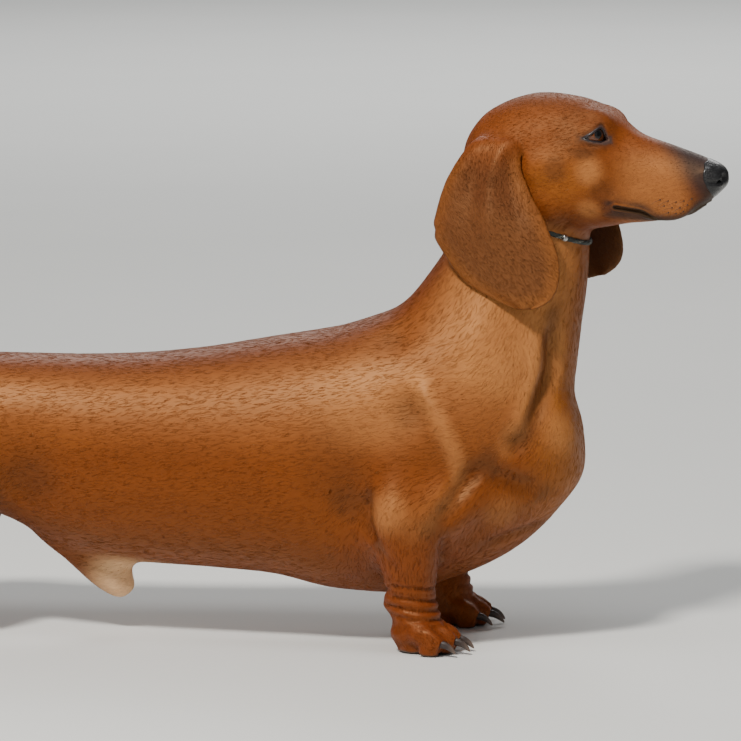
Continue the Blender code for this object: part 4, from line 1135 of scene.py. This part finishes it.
        # painted shade under the lip line, on the down-facing lower jaw
        chin = np.zeros(len(points))
        chin[near_head] = ease(-gap, -0.012, -0.005) * ease(-normals[near_head, 2], 0.0, 0.6)
        lay("night", 0.85 * chin)
        centre, look, forward, upward = eye_frame(side)
        local = in_head(points[near_head]) - centre
        over, up, out = local @ forward, local @ upward, local @ look
        high, deep = lid_edge(np.clip(over / LID_HALF, -1, 1))
        outside = np.maximum.reduce([up - high, deep - up, np.abs(over) - LID_HALF])
        inner = 1.4 * ease(over, 1, 9)
        apart = np.linalg.norm(local, axis=1)
        ring = ease(-outside, -2.0 - inner, -0.5 - inner) * (out > 3) * (apart < 19)
        smudge = ease(-outside, -6.0 - inner, -0.8) * (out > 2) * (apart < 22)
        share = np.zeros(len(points))
        share[near_head] = 0.45 * smudge
        lay("dusk", share)
        share[near_head] = 0.9 * ring
        lay("lid", share)
        bare[near_head] = np.maximum(bare[near_head], 0.8 * ring)
        lids[near_head] = np.maximum(lids[near_head], ring)
    soles = ease(-z, -0.004, -0.0015) * ease(-normals[:, 2], 0.3, 0.8)
    lay("bare", np.clip(bare - lids, 0, 1) * 0.96)
    lay("pad", soles)
    return colour, np.maximum(bare, soles)


normals = normals_of(skin)
rim_share = np.zeros(len(points))
for word, side in SIDES.items():
    down = np.linspace(0.25, 1, 60)
    edge = [in_model(ear_place(word, side, np.full(60, a), down)) for a in (-1.0, 1.0)]
    edge = np.vstack([edge[0], edge[1][::-1]])
    leaf = np.nonzero((spread_ear > 0.01) & (points[:, 1] * side > 0))[0]
    rim_share[leaf] = ease(-from_line(points[leaf], edge)[0], -0.014, -0.003)
colour, bare = markings_and_painted_light(points, normals, spread_ear)
keep(skin, "marking_and_painted_light", "FLOAT_COLOR", colour)
keep(skin, "bare", "FLOAT", bare)
keep(skin, "short", "FLOAT", ease(above_collar(points), 0.0, 0.03) * (1 - 0.6 * spread_ear))
print("mean colour", np.round(colour.mean(0), 3))

# %% [markdown]
# ## Coat finish
#
# Short hair lies flat and shines along its length. Noise stretched along the lie gives the
# strands, a coarser one the locks, and their height goes to the bump.

# %% Coat finish
SHEEN = rgb(255, 206, 150)


def coat_finish(name):
    coat = Finish(name, Roughness=0.45)
    coat.shader.inputs["Specular IOR Level"].default_value = 0.6
    coat.shader.inputs["Specular Tint"].default_value = SHEEN
    lie = coat.attribute("lie", "Vector")
    bare = coat.attribute("bare")
    marking_and_painted_light = coat.attribute("marking_and_painted_light", "Color")
    fine = coat.noise(coat.scaled(lie, (260, 1900, 1900)), detail=2.0)
    locks = coat.noise(coat.scaled(lie, (70, 520, 520)), detail=2.0)
    short = coat.attribute("short")
    drift = coat.noise(coat.scaled(lie, (18, 40, 40)), detail=2.0)
    hair = 1 - bare
    tone = (0.64 + fine * 0.44 + locks * 0.28 + (drift - 0.5) * 0.3) * hair + bare
    green = tone * tone.between(0.2, 1.6) * 0.25 + tone * 0.85
    shade = coat.node("ShaderNodeCombineColor", {}, {"Red": tone, "Green": green, "Blue": tone})
    coat.colour(coat.mix(1.0, marking_and_painted_light, shade, "MULTIPLY"))
    coat.roughness(0.38 + fine * 0.12 * hair + locks * 0.08 + short * 0.12)
    height = (fine * 0.6 + locks * 0.6) * hair + coat.noise(coat.place(), 900.0, 3.0) * 0.5 * bare
    coat.bump(height * (1 - short * 0.3), 0.00025, 0.6)
    return coat


coat = coat_finish("red_coat_finish")
skin.data.materials.clear()
skin.data.materials.append(coat.material)
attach(skin, BODY)
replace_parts(skin, *FLESH, "ear_right", "ear_left")
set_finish(skin, "red_coat")
print("skin dressed")

# %% [markdown]
# ## Nose leather
#
# The nose is bare, black and pebbled, and stands a hair's breadth proud of the coat. It is
# the skin's own front end, taken with a ball and swelled a little.

# %% Nose
NOSE_PROUD = 0.35 * MM
nose = skin.copy()
nose.data = skin.data.copy()
nose.name = "nose_pad"
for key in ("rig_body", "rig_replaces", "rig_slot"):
    if key in nose:
        del nose[key]
nose.parent = None
bpy.context.scene.collection.objects.link(nose)
bpy.ops.mesh.primitive_uv_sphere_add(segments=64, ring_count=32, radius=1)
tool = bpy.context.object
turn = Matrix.Rotation(math.radians(14), 4, "Y") @ Matrix.Diagonal((14.5, 18, 14.2, 1))
ball = np.array([turn @ v.co for v in tool.data.vertices]) + (152.8, 0, -6.6)
ball[:, 0] += 0.8 * np.sin(ball[:, 1] * 0.9) * ease(ball[:, 2], -4, 4)
move_to(tool, in_model(ball))
apply(nose, "BOOLEAN", operation="INTERSECT", solver="MANIFOLD", object=tool)
bpy.data.objects.remove(tool)
apply(nose, "DISPLACE", mid_level=0, strength=NOSE_PROUD)
leather = Finish("nose_leather_finish", Roughness=0.3)
leather.shader.inputs["Coat Weight"].default_value = 0.5
leather.shader.inputs["Coat Roughness"].default_value = 0.22
leather.shader.inputs["Specular IOR Level"].default_value = 0.3
spot = leather.place()
pebble = leather.node(
    "ShaderNodeTexVoronoi", {"feature": "DISTANCE_TO_EDGE"}, {"Vector": spot, "Scale": 720.0}
)
pebble = pebble.between(0.0, 0.35)
dapple = leather.noise(spot, 160.0, 3.0)
leather.colour(leather.mix(pebble, rgb(7, 6, 7), rgb(19, 18, 20)))
leather.roughness(0.3 + dapple * 0.2 + (1 - pebble) * 0.15)
leather.bump(pebble * 0.8 + dapple * 0.5, 0.00025, 0.7)
nose.data.materials.clear()
nose.data.materials.append(leather.material)
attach(nose, BODY)
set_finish(nose, "nose_leather")
print("nose pad", len(nose.data.polygons), "faces")

# %% [markdown]
# ## Eyes
#
# Each eye is a ball with a raised cornea, a brown iris streaked from the pupil outwards and a
# wet, clear coat, its top darkened by a painted shadow of the upper lid. A rounded dark rim runs
# round the almond where lid meets eye.

# %% Eyeballs
def eyeball(word, side):
    bpy.ops.mesh.primitive_uv_sphere_add(segments=64, ring_count=40, radius=1)
    globe = bpy.context.object
    globe.name = f"eyeball_{word}"
    centre, look, forward, upward = eye_frame(side)
    gaze = look + forward * 0.10 + upward * 0.02
    gaze /= np.linalg.norm(gaze)
    over = forward - gaze * (forward @ gaze)
    over /= np.linalg.norm(over)
    up = np.cross(gaze, over)
    up *= np.sign(up @ upward)
    ball = points_of(globe)
    angle = np.degrees(np.arccos(np.clip(ball[:, 2], -1, 1)))
    bulge = 0.9 * ease(-angle, -34, -8)
    placed = np.outer(ball[:, 0], over) + np.outer(ball[:, 1], up) + np.outer(ball[:, 2], gaze)
    placed = centre + placed * (EYE_RADIUS + bulge)[:, None]
    move_to(globe, in_model(placed))
    face_outwards(globe)
    bpy.ops.object.shade_smooth()
    keep(globe, "from_gaze", "FLOAT", angle)
    # painted shadow of the upper lid: the top of the eyeball is darkened
    keep(globe, "lid_shade", "FLOAT", 0.85 * ease(ball[:, 1], -0.02, 0.22))
    disc = np.column_stack([ball[:, 0], ball[:, 1], np.zeros(len(ball))])
    keep(globe, "disc", "FLOAT_VECTOR", disc)
    globe.data.materials.append(iris.material)
    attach(globe, BODY)
    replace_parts(globe, f"eye_{word}")
    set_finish(globe, "eye")
    return globe


iris = Finish("eye_finish", Roughness=0.12)
iris.shader.inputs["Coat Weight"].default_value = 0.5
iris.shader.inputs["Specular IOR Level"].default_value = 0.2
iris.shader.inputs["Coat Roughness"].default_value = 0.02
angle = iris.attribute("from_gaze")
disc = iris.attribute("disc", "Vector")
round_way = iris.node("ShaderNodeVectorMath", {"operation": "NORMALIZE"}, {0: disc})
streaks = iris.noise(round_way, 9.0, 3.0)
brown = iris.mix(streaks, rgb(58, 28, 12), rgb(112, 60, 26))
edge = iris.mix(angle.between(32, 42), brown, rgb(18, 10, 8))
white = iris.mix(angle.between(46, 52), edge, rgb(70, 52, 48))
seen = iris.mix(angle.between(13, 16), rgb(3, 3, 4), white)
iris.colour(iris.mix(iris.attribute("lid_shade"), seen, rgb(6, 5, 6)))
for word, side in SIDES.items():
    eyeball(word, side)
print("eyes set")

# %% Lid rims
def lid_rim(word, side):
    outline = lid_outline()
    bpy.ops.mesh.primitive_torus_add(
        major_segments=len(outline), minor_segments=10, major_radius=1, minor_radius=0.1
    )
    rim = bpy.context.object
    rim.name = f"lid_rim_{word}"
    centre, look, forward, upward = eye_frame(side)
    ring = []
    for over, up in outline:
        flat = forward * over + upward * up
        ring.append(flat + look * math.sqrt((EYE_RADIUS + 0.55) ** 2 - over ** 2 - up ** 2))
    ring = np.array(ring)
    middle = ring.mean(0)
    placed = []
    for vertex in points_of(rim):
        at = math.atan2(vertex[1], vertex[0]) / (2 * math.pi) * len(outline)
        k = int(round(at)) % len(outline)
        outward = ring[k] / np.linalg.norm(ring[k])
        along = ring[(k + 1) % len(outline)] - ring[k - 1]
        along /= np.linalg.norm(along)
        beside = np.cross(outward, along)
        away = (math.hypot(vertex[0], vertex[1]) - 1) / 0.1
        corner = abs(outline[k][0]) / LID_HALF
        size = 0.98 - 0.25 * corner ** 4
        placed.append(centre + ring[k] + size * (beside * away + outward * vertex[2] / 0.1 * 0.9))
    move_to(rim, in_model(placed))
    face_outwards(rim)
    apply(rim, "SUBSURF", levels=1, render_levels=1)
    bpy.ops.object.shade_smooth()
    rim.data.materials.append(lid_skin.material)
    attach(rim, BODY)
    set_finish(rim, "nose_leather")
    return rim


lid_skin = Finish("lid_skin_finish", Roughness=0.3)
spot = lid_skin.place()
mottle = lid_skin.noise(spot, 900.0, 3.0)
lid_skin.colour(lid_skin.mix(mottle, rgb(20, 15, 16), rgb(52, 40, 42)))
lid_skin.roughness(0.22 + mottle * 0.2)
lid_skin.bump(mottle, 0.0002, 0.4)
for word, side in SIDES.items():
    lid_rim(word, side)
print("lid rims set")

# %% [markdown]
# ## Claws
#
# Short curved claws of dark horn, paler and worn towards the tip. Each packed claw gives the
# place; a subdivided copy of it has the roundness.

# %% Claws
horn = Finish("claw_finish", Roughness=0.38)
spot = horn.place()
length = horn.attribute("along")
grain = horn.noise(horn.scaled(spot, (500, 900, 500)), detail=3.0)
dark = horn.mix(grain, rgb(34, 26, 23), rgb(64, 50, 44))
horn.colour(horn.mix(length.between(0.55, 1.05) * 0.7, dark, rgb(120, 100, 88)))
horn.roughness(0.3 + grain * 0.25)
horn.bump(grain, 0.0002, 0.5)
CLAWS = [node for node in frame["nodes"] if "_claw_" in node]
for node in CLAWS:
    claw = merged_copy(node)
    claw.name = node.replace("_claw_", "_horn_")
    claw.parent = None
    points = points_of(claw)
    root = points[:, 0].min()
    along = (points[:, 0] - root) / np.ptp(points[:, 0])
    middle = points.mean(0)
    points[:, 1] = middle[1] + (points[:, 1] - middle[1]) * 0.92
    move_to(claw, points)
    keep(claw, "along", "FLOAT", along)
    apply(claw, "SUBSURF", levels=2, render_levels=2)
    bpy.ops.object.shade_smooth()
    claw.data.materials.clear()
    claw.data.materials.append(horn.material)
    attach(claw, BODY)
    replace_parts(claw, node)
    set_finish(claw, "claw")
print("claws", len(CLAWS))

# %% [markdown]
# ## Collar
#
# A thin show collar: a round cord of three dark strands twisted together, with a pale fleck
# where a light thread crosses, and one small metal bead at the throat.

# %% Collar
CORD_RADIUS = 1.3 * MM
CORD_STEPS, CORD_SIDES = 420, 15
STRANDS, TWISTS = 3, 52
level = np.array(Vector(COLLAR_UP).to_track_quat("Z", "X").to_matrix())
band = (points_of(frame["nodes"]["collar"]) - COLLAR_MIDDLE) @ level
turned = np.arctan2(band[:, 1], band[:, 0])
reach = np.hypot(band[:, 0], band[:, 1])
knots = []
for k in range(40):
    here = np.cos(turned - 2 * math.pi * k / 40) > math.cos(math.pi / 40)
    knots.append((reach[here].mean(), band[here, 2].mean()))
for k, (far, rise) in enumerate(knots):
    angle = 2 * math.pi * k / 40
    spoke = np.array([math.cos(angle), math.sin(angle), 0])
    start = Vector(level @ (np.array([0, 0, rise])) + COLLAR_MIDDLE)
    hit = skin_tree.ray_cast(start, Vector(level @ spoke), 0.08)
    if hit[0] is not None:
        knots[k] = (min(hit[3] + 0.75 * MM, far + 0.4 * MM), rise)
knots = np.array(knots + knots[:1])
steps = np.arange(41) / 40

bpy.ops.mesh.primitive_torus_add(
    major_segments=CORD_STEPS, minor_segments=CORD_SIDES, major_radius=1, minor_radius=0.1
)
cord = bpy.context.object
cord.name = "collar_cord"
raw = points_of(cord)
round_share = (np.arctan2(raw[:, 1], raw[:, 0]) / (2 * math.pi)) % 1
out = (np.hypot(raw[:, 0], raw[:, 1]) - 1) / 0.1
rise = raw[:, 2] / 0.1
section = np.arctan2(rise, out)
ring_reach = np.interp(round_share, steps, knots[:, 0])
ring_rise = np.interp(round_share, steps, knots[:, 1])
wave = np.abs(np.cos(STRANDS / 2 * (section - 2 * math.pi * TWISTS / STRANDS * round_share)))
thick = CORD_RADIUS * (0.80 + 0.26 * wave)
ahead = 2 * math.pi * round_share
local = np.column_stack([
    (ring_reach + thick * np.cos(section)) * np.cos(ahead),
    (ring_reach + thick * np.cos(section)) * np.sin(ahead),
    ring_rise + thick * np.sin(section) * 1.25,
])
move_to(cord, local @ level.T + COLLAR_MIDDLE)
phase = ((section / (2 * math.pi) - TWISTS / STRANDS * round_share) * STRANDS) % STRANDS
keep(cord, "strand", "FLOAT", np.floor(phase + 0.5) % STRANDS)
keep(cord, "groove", "FLOAT", wave)
keep(cord, "run", "FLOAT_VECTOR", np.column_stack([round_share * 260, section * 3, phase]))
face_outwards(cord)
bpy.ops.object.shade_smooth()
yarn = Finish("cord_finish", Roughness=0.6)
strand, groove = yarn.attribute("strand"), yarn.attribute("groove")
fibre = yarn.noise(yarn.attribute("run", "Vector"), 3.0, 3.0)
dark = yarn.mix(fibre, rgb(10, 16, 14), rgb(30, 40, 35))
light = yarn.mix(fibre, rgb(150, 150, 134), rgb(196, 194, 178))
fleck = strand.between(1.6, 1.7) * fibre.between(0.56, 0.62)
yarn.colour(yarn.mix(fleck, dark, light))
yarn.roughness(0.5 + fibre * 0.3)
yarn.bump(fibre * 0.4 + groove, 0.0004, 0.6)
cord.data.materials.append(yarn.material)
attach(cord, BODY)
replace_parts(cord, "collar")
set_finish(cord, "cord")
print("cord", len(cord.data.polygons), "faces, mean reach", round(float(ring_reach.mean()), 4))

# %% Bead
wanted = (np.array([0.3085, -0.0345, 0.2815]) - COLLAR_MIDDLE) @ level
bead_share = (math.atan2(wanted[1], wanted[0]) / (2 * math.pi)) % 1
bead_reach = np.interp(bead_share, steps, knots[:, 0])
bead_rise = np.interp(bead_share, steps, knots[:, 1])
angle = 2 * math.pi * bead_share
bead_place = np.array([bead_reach * math.cos(angle), bead_reach * math.sin(angle), bead_rise])
BEAD_RADIUS, BEAD_LENGTH = 2.1 * MM, 3.8 * MM
bpy.ops.mesh.primitive_cylinder_add(
    vertices=40, radius=BEAD_RADIUS, depth=BEAD_LENGTH, end_fill_type="NGON"
)
bead = bpy.context.object
bead.name = "collar_bead"
bpy.ops.object.mode_set(mode="EDIT")
bpy.ops.mesh.select_mode(type="EDGE")
bpy.ops.mesh.select_all(action="SELECT")
bpy.ops.mesh.bevel(offset=0.8 * MM, segments=4, affect="EDGES")
bpy.ops.object.mode_set(mode="OBJECT")
tangent = Vector((-math.sin(angle), math.cos(angle), 0))
stand = tangent.to_track_quat("Z", "X").to_matrix()
shape = points_of(bead) @ np.array(stand).T + bead_place
move_to(bead, shape @ level.T + COLLAR_MIDDLE)
bpy.ops.object.shade_smooth_by_angle(angle=math.radians(40))
metal = Finish("bead_finish", Roughness=0.25, Metallic=1.0)
spot = metal.place()
scuff = metal.noise(metal.scaled(spot, (900, 900, 4000)), detail=3.0)
metal.colour(metal.mix(scuff, rgb(150, 150, 148), rgb(205, 204, 200)))
metal.roughness(0.16 + scuff * 0.28)
bead.data.materials.append(metal.material)
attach(bead, BODY)
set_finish(bead, "cord")
print("bead at", np.round(bead_place @ level.T + COLLAR_MIDDLE, 4))

# %% [markdown]
# ## Tufts
#
# Flat short hair is mostly bump, yet its tips break every edge of the form. Thousands of thin
# tapered locks lie along the skin, each bent to the surface, coloured as the skin at its
# root and a little lighter or darker than its neighbour.

# %% Tools for tufts
def mesh_from(name, points, triangles):
    """A mesh made from arrays of points and of triangles."""
    mesh = bpy.data.meshes.new(name)
    mesh.vertices.add(len(points))
    mesh.vertices.foreach_set("co", np.asarray(points, np.float32).ravel())
    mesh.loops.add(len(triangles) * 3)
    mesh.loops.foreach_set("vertex_index", np.asarray(triangles, np.int32).ravel())
    mesh.polygons.add(len(triangles))
    mesh.polygons.foreach_set("loop_start", np.arange(0, len(triangles) * 3, 3, dtype=np.int32))
    mesh.update(calc_edges=True)
    made = bpy.data.objects.new(name, mesh)
    bpy.context.scene.collection.objects.link(made)
    return made


def unit(rows):
    return rows / np.maximum(np.linalg.norm(rows, axis=1, keepdims=True), 1e-9)


skin_tree = tree_of(skin)
skin.data.calc_loop_triangles()
flat = np.empty(len(skin.data.loop_triangles) * 3, np.int32)
skin.data.loop_triangles.foreach_get("vertices", flat)
skin_triangles = flat.reshape(-1, 3)
skin_points, skin_normals = points_of(skin), normals_of(skin)
corners = skin_points[skin_triangles]
two_edges = corners[:, 1] - corners[:, 0], corners[:, 2] - corners[:, 0]
skin_areas = np.linalg.norm(np.cross(*two_edges), axis=1) / 2

# %% Unwrap for the tufts
only(skin)
unwrap = skin.copy()
unwrap.data = skin.data.copy()
bpy.context.scene.collection.objects.link(unwrap)
only(unwrap)
bpy.ops.object.mode_set(mode="EDIT")
bpy.ops.mesh.select_all(action="SELECT")
bpy.ops.uv.smart_project(angle_limit=math.radians(66), island_margin=0.002)
bpy.ops.object.mode_set(mode="OBJECT")
flat = np.empty(len(unwrap.data.loops) * 2, np.float32)
unwrap.data.uv_layers.active.data.foreach_get("uv", flat)
loop_places = flat.reshape(-1, 2)
unwrap.data.calc_loop_triangles()
flat = np.empty(len(unwrap.data.loop_triangles) * 3, np.int32)
unwrap.data.loop_triangles.foreach_get("loops", flat)
triangle_places = loop_places[flat.reshape(-1, 3)]
bpy.data.objects.remove(unwrap)
print("unwrap", triangle_places.reshape(-1, 2).min(0), triangle_places.reshape(-1, 2).max(0))


# %% Grow tufts
PATCH = 0.003


def grow(name, number, wanted, length, width, lift, finish, seed,
         spread=0.2, tone=0.06, slot="red_coat"):
    """Tufts over the skin. wanted, length, width and lift are given for each point of the skin."""
    chance = np.random.default_rng(seed)
    weight = skin_areas * wanted[skin_triangles].mean(1)
    chosen = chance.choice(len(weight), number, p=weight / weight.sum())
    a, b = chance.random(number), chance.random(number)
    over = a + b > 1
    a[over], b[over] = 1 - a[over], 1 - b[over]
    shares = np.column_stack([1 - a - b, a, b])
    corner = skin_triangles[chosen]

    def at(values):
        return np.einsum("nk,nk...->n...", shares, values[corner])

    root, normal = at(skin_points), unit(at(skin_normals))
    lay = at(way) + chance.normal(0, spread, (number, 3))
    lay = unit(lay - normal * np.sum(lay * normal, axis=1, keepdims=True))
    side = np.cross(normal, lay)
    long = at(length) * chance.uniform(0.7, 1.25, number)
    broad = at(width) * chance.uniform(0.7, 1.2, number)
    high = at(lift) * chance.uniform(0.5, 1.5, number)
    stations = []
    for share, sink, size in ((0.0, -0.6, 0.8), (0.45, 0.35, 1.0), (1.0, 0.75, 0.0)):
        place = root + lay * (long * share)[:, None]
        ups = normal.copy()
        if share > 0:
            for k in range(number):
                found, up, _, _ = skin_tree.find_nearest(Vector(place[k]), 0.02)
                if found is not None:
                    place[k] = found
                    ups[k] = up
        centre = place + ups * (high * sink)[:, None]
        stations.append((centre, ups, size))
    points = np.empty((number, 7, 3))
    for ring, (centre, ups, size) in enumerate(stations[:2]):
        half = (broad * size / 2)[:, None]
        points[:, ring * 3] = centre - side * half
        points[:, ring * 3 + 1] = centre + side * half
        points[:, ring * 3 + 2] = centre + ups * half * 0.4
    points[:, 6] = stations[2][0]
    pattern = np.array([
        (0, 2, 1), (0, 1, 4), (0, 4, 3), (1, 2, 5), (1, 5, 4), (2, 0, 3), (2, 3, 5),
        (3, 4, 6), (4, 5, 6), (5, 3, 6),
    ])
    triangles = (pattern[None] + (np.arange(number) * 7)[:, None, None]).reshape(-1, 3)
    piece = mesh_from(name, points.reshape(-1, 3), triangles)
    colour = at(marking_and_light_colour)
    shade = (1 + chance.normal(0, tone, number)).clip(0.45, 1.7)[:, None]
    warm = chance.normal(0, 0.02, (number, 1)) * np.array([1, 0.2, -0.8])
    tint = np.ones((number, 7, 4))
    tips = np.array([0.92, 0.92, 0.92, 1.0, 1.0, 1.0, 1.08])[None, :, None]
    tint[:, :, :3] = (colour[:, None, :3] * (shade + warm)[:, None]) * tips
    keep(piece, "marking_and_painted_light", "FLOAT_COLOR", tint.clip(0, 1).reshape(-1, 4))
    keep(piece, "root", "FLOAT_VECTOR", np.repeat(root, 7, axis=0))
    places = np.einsum("nk,nkc->nc", shares, triangle_places[chosen])
    inside = np.array([(0, 0), (1, 0), (0.5, 0.2), (0, 0.5), (1, 0.5), (0.5, 0.6), (0.5, 1)]) - 0.5
    patch = (places[:, None] + inside[None] * PATCH).reshape(-1, 2)
    layer = piece.data.uv_layers.new(name="OFBake")
    layer.data.foreach_set("uv", patch[triangles.ravel()].astype(np.float32).ravel())
    piece.data.materials.append(finish.material)
    only(piece)
    bpy.ops.object.shade_smooth()
    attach(piece, BODY)
    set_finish(piece, slot)
    return piece


marking_and_light_colour = colour
hair = Finish("hair_finish", Roughness=0.42)
hair.shader.inputs["Specular IOR Level"].default_value = 0.6
hair.shader.inputs["Specular Tint"].default_value = SHEEN
strand = hair.attribute("marking_and_painted_light", "Color")
speck = hair.noise(hair.place(), 700.0, 2.0)
hair.colour(hair.mix(speck * 0.35, strand, hair.mix(0.5, strand, rgb(255, 214, 160), "MULTIPLY")))
hair.roughness(0.42 + speck * 0.16)

x, y, z = skin_points.T
level_up = above_collar(skin_points)
on_head = ease(level_up, 0.0, 0.01) * (1 - spread_ear)
feet = ease(-z, -0.05, -0.03) * (np.abs(y) > 0.028)
face = ease(in_head(skin_points)[:, 0], 40, 100) * on_head
cover = np.clip(1 - bare * 3, 0, 1) * (skin_points[:, 2] > 0.004)
in_front = np.linalg.norm(skin_points - NOSE_MIDDLE, axis=1)
cover = cover * (in_front > 0.0165)
length = 0.0056 - 0.0026 * on_head - 0.0012 * face - 0.0022 * spread_ear - 0.0026 * feet
width = 0.00040 - 0.00012 * on_head - 0.00006 * face - 0.00006 * spread_ear - 0.0001 * feet
lift = 0.00014 - 0.00006 * on_head - 0.00007 * feet - 0.00004 * spread_ear
trunk_zone = ease(-level_up, 0.0, 0.01) * (1 - feet) * (1 - spread_ear)
TUFTS = 19000
for number, seed in ((1, 11), (2, 12), (3, 13)):
    grow(f"coat_trunk_{number}", TUFTS, cover * trunk_zone, length, width, lift, hair, seed)
head_cover = cover * (on_head * (1 - spread_ear))
grow("coat_head", TUFTS, head_cover, length, width, lift, hair, 21, spread=0.15)
grow("coat_ears", TUFTS, cover * spread_ear, length, width, lift, hair, 31, spread=0.15, slot="ear_coat")
grow("coat_feet", 15000, cover * feet, length, width, lift, hair, 41, spread=0.15)
print("tufts grown")

# %% [markdown]
# ## Whisker roots
#
# Rows of dark spots run along the upper lip, each with one short stiff bristle. They are
# tapered three-sided rods, a broad foot and a thin tip, drawn as one joined mesh a side.

# %% Whiskers
WHISKER_ROOTS = [
    (0.3648, -0.0403, 0.3021), (0.3701, -0.0406, 0.3015), (0.3754, -0.0412, 0.3010), (0.3806, -0.0409, 0.3017),
    (0.3858, -0.0402, 0.3030), (0.3675, -0.0404, 0.2982), (0.3728, -0.0415, 0.2971), (0.3781, -0.0419, 0.2972),
    (0.3832, -0.0407, 0.2991), (0.3702, -0.0410, 0.2937), (0.3755, -0.0415, 0.2931), (0.3807, -0.0412, 0.2945),
]


def bristles(word, side):
    places = in_head(np.array(WHISKER_ROOTS))
    places[:, 1] = np.abs(places[:, 1]) * side
    places = in_model(places)
    chance = np.random.default_rng(50 + side)
    points, triangles = [], []
    for place in places:
        root, up, _, _ = skin_tree.find_nearest(Vector(place), 0.02)
        root, up = np.array(root), np.array(up)
        lean = up * 0.75 + np.array([-0.75, 0, -0.25]) + chance.normal(0, 0.08, 3)
        lean /= np.linalg.norm(lean)
        side_way = np.cross(up, lean)
        side_way /= np.linalg.norm(side_way)
        reach = chance.uniform(0.004, 0.008)
        stations = [(-0.0003, 0.00055, up), (0.0004, 0.00040, up), (0.0009, 0.00012, lean),
                    (reach * 0.6, 0.00009, lean), (reach, 0.00002, lean + np.array([-0.2, 0, -0.2]))]
        first = len(points)
        for far, thick, along in stations:
            middle = root + along * far
            third = np.cross(along, side_way)
            for k in range(5):
                turn = 2 * math.pi * k / 5
                points.append(middle + thick * (side_way * math.cos(turn) + third * math.sin(turn)))
        for ring in range(4):
            for k in range(5):
                a, b = first + ring * 5 + k, first + ring * 5 + (k + 1) % 5
                triangles += [(a, b, b + 5), (a, b + 5, a + 5)]
        for k in (1, 2, 3):
            triangles += [(first, first + k + 1, first + k), (first + 20, first + 20 + k, first + 21 + k)]
    piece = mesh_from(f"whisker_{word}", points, triangles)
    face_outwards(piece)
    bpy.ops.object.shade_smooth()
    piece.data.materials.append(bristle.material)
    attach(piece, BODY)
    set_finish(piece, "red_coat")


bristle = Finish("bristle_finish", Roughness=0.45)
tint = bristle.noise(bristle.place(), 300.0)
bristle.colour(bristle.mix(tint, rgb(24, 18, 18), rgb(62, 44, 36)))
bristle.roughness(0.35 + tint * 0.2)
for word, side in SIDES.items():
    bristles(word, side)
print("whisker roots", 2 * len(WHISKER_ROOTS))
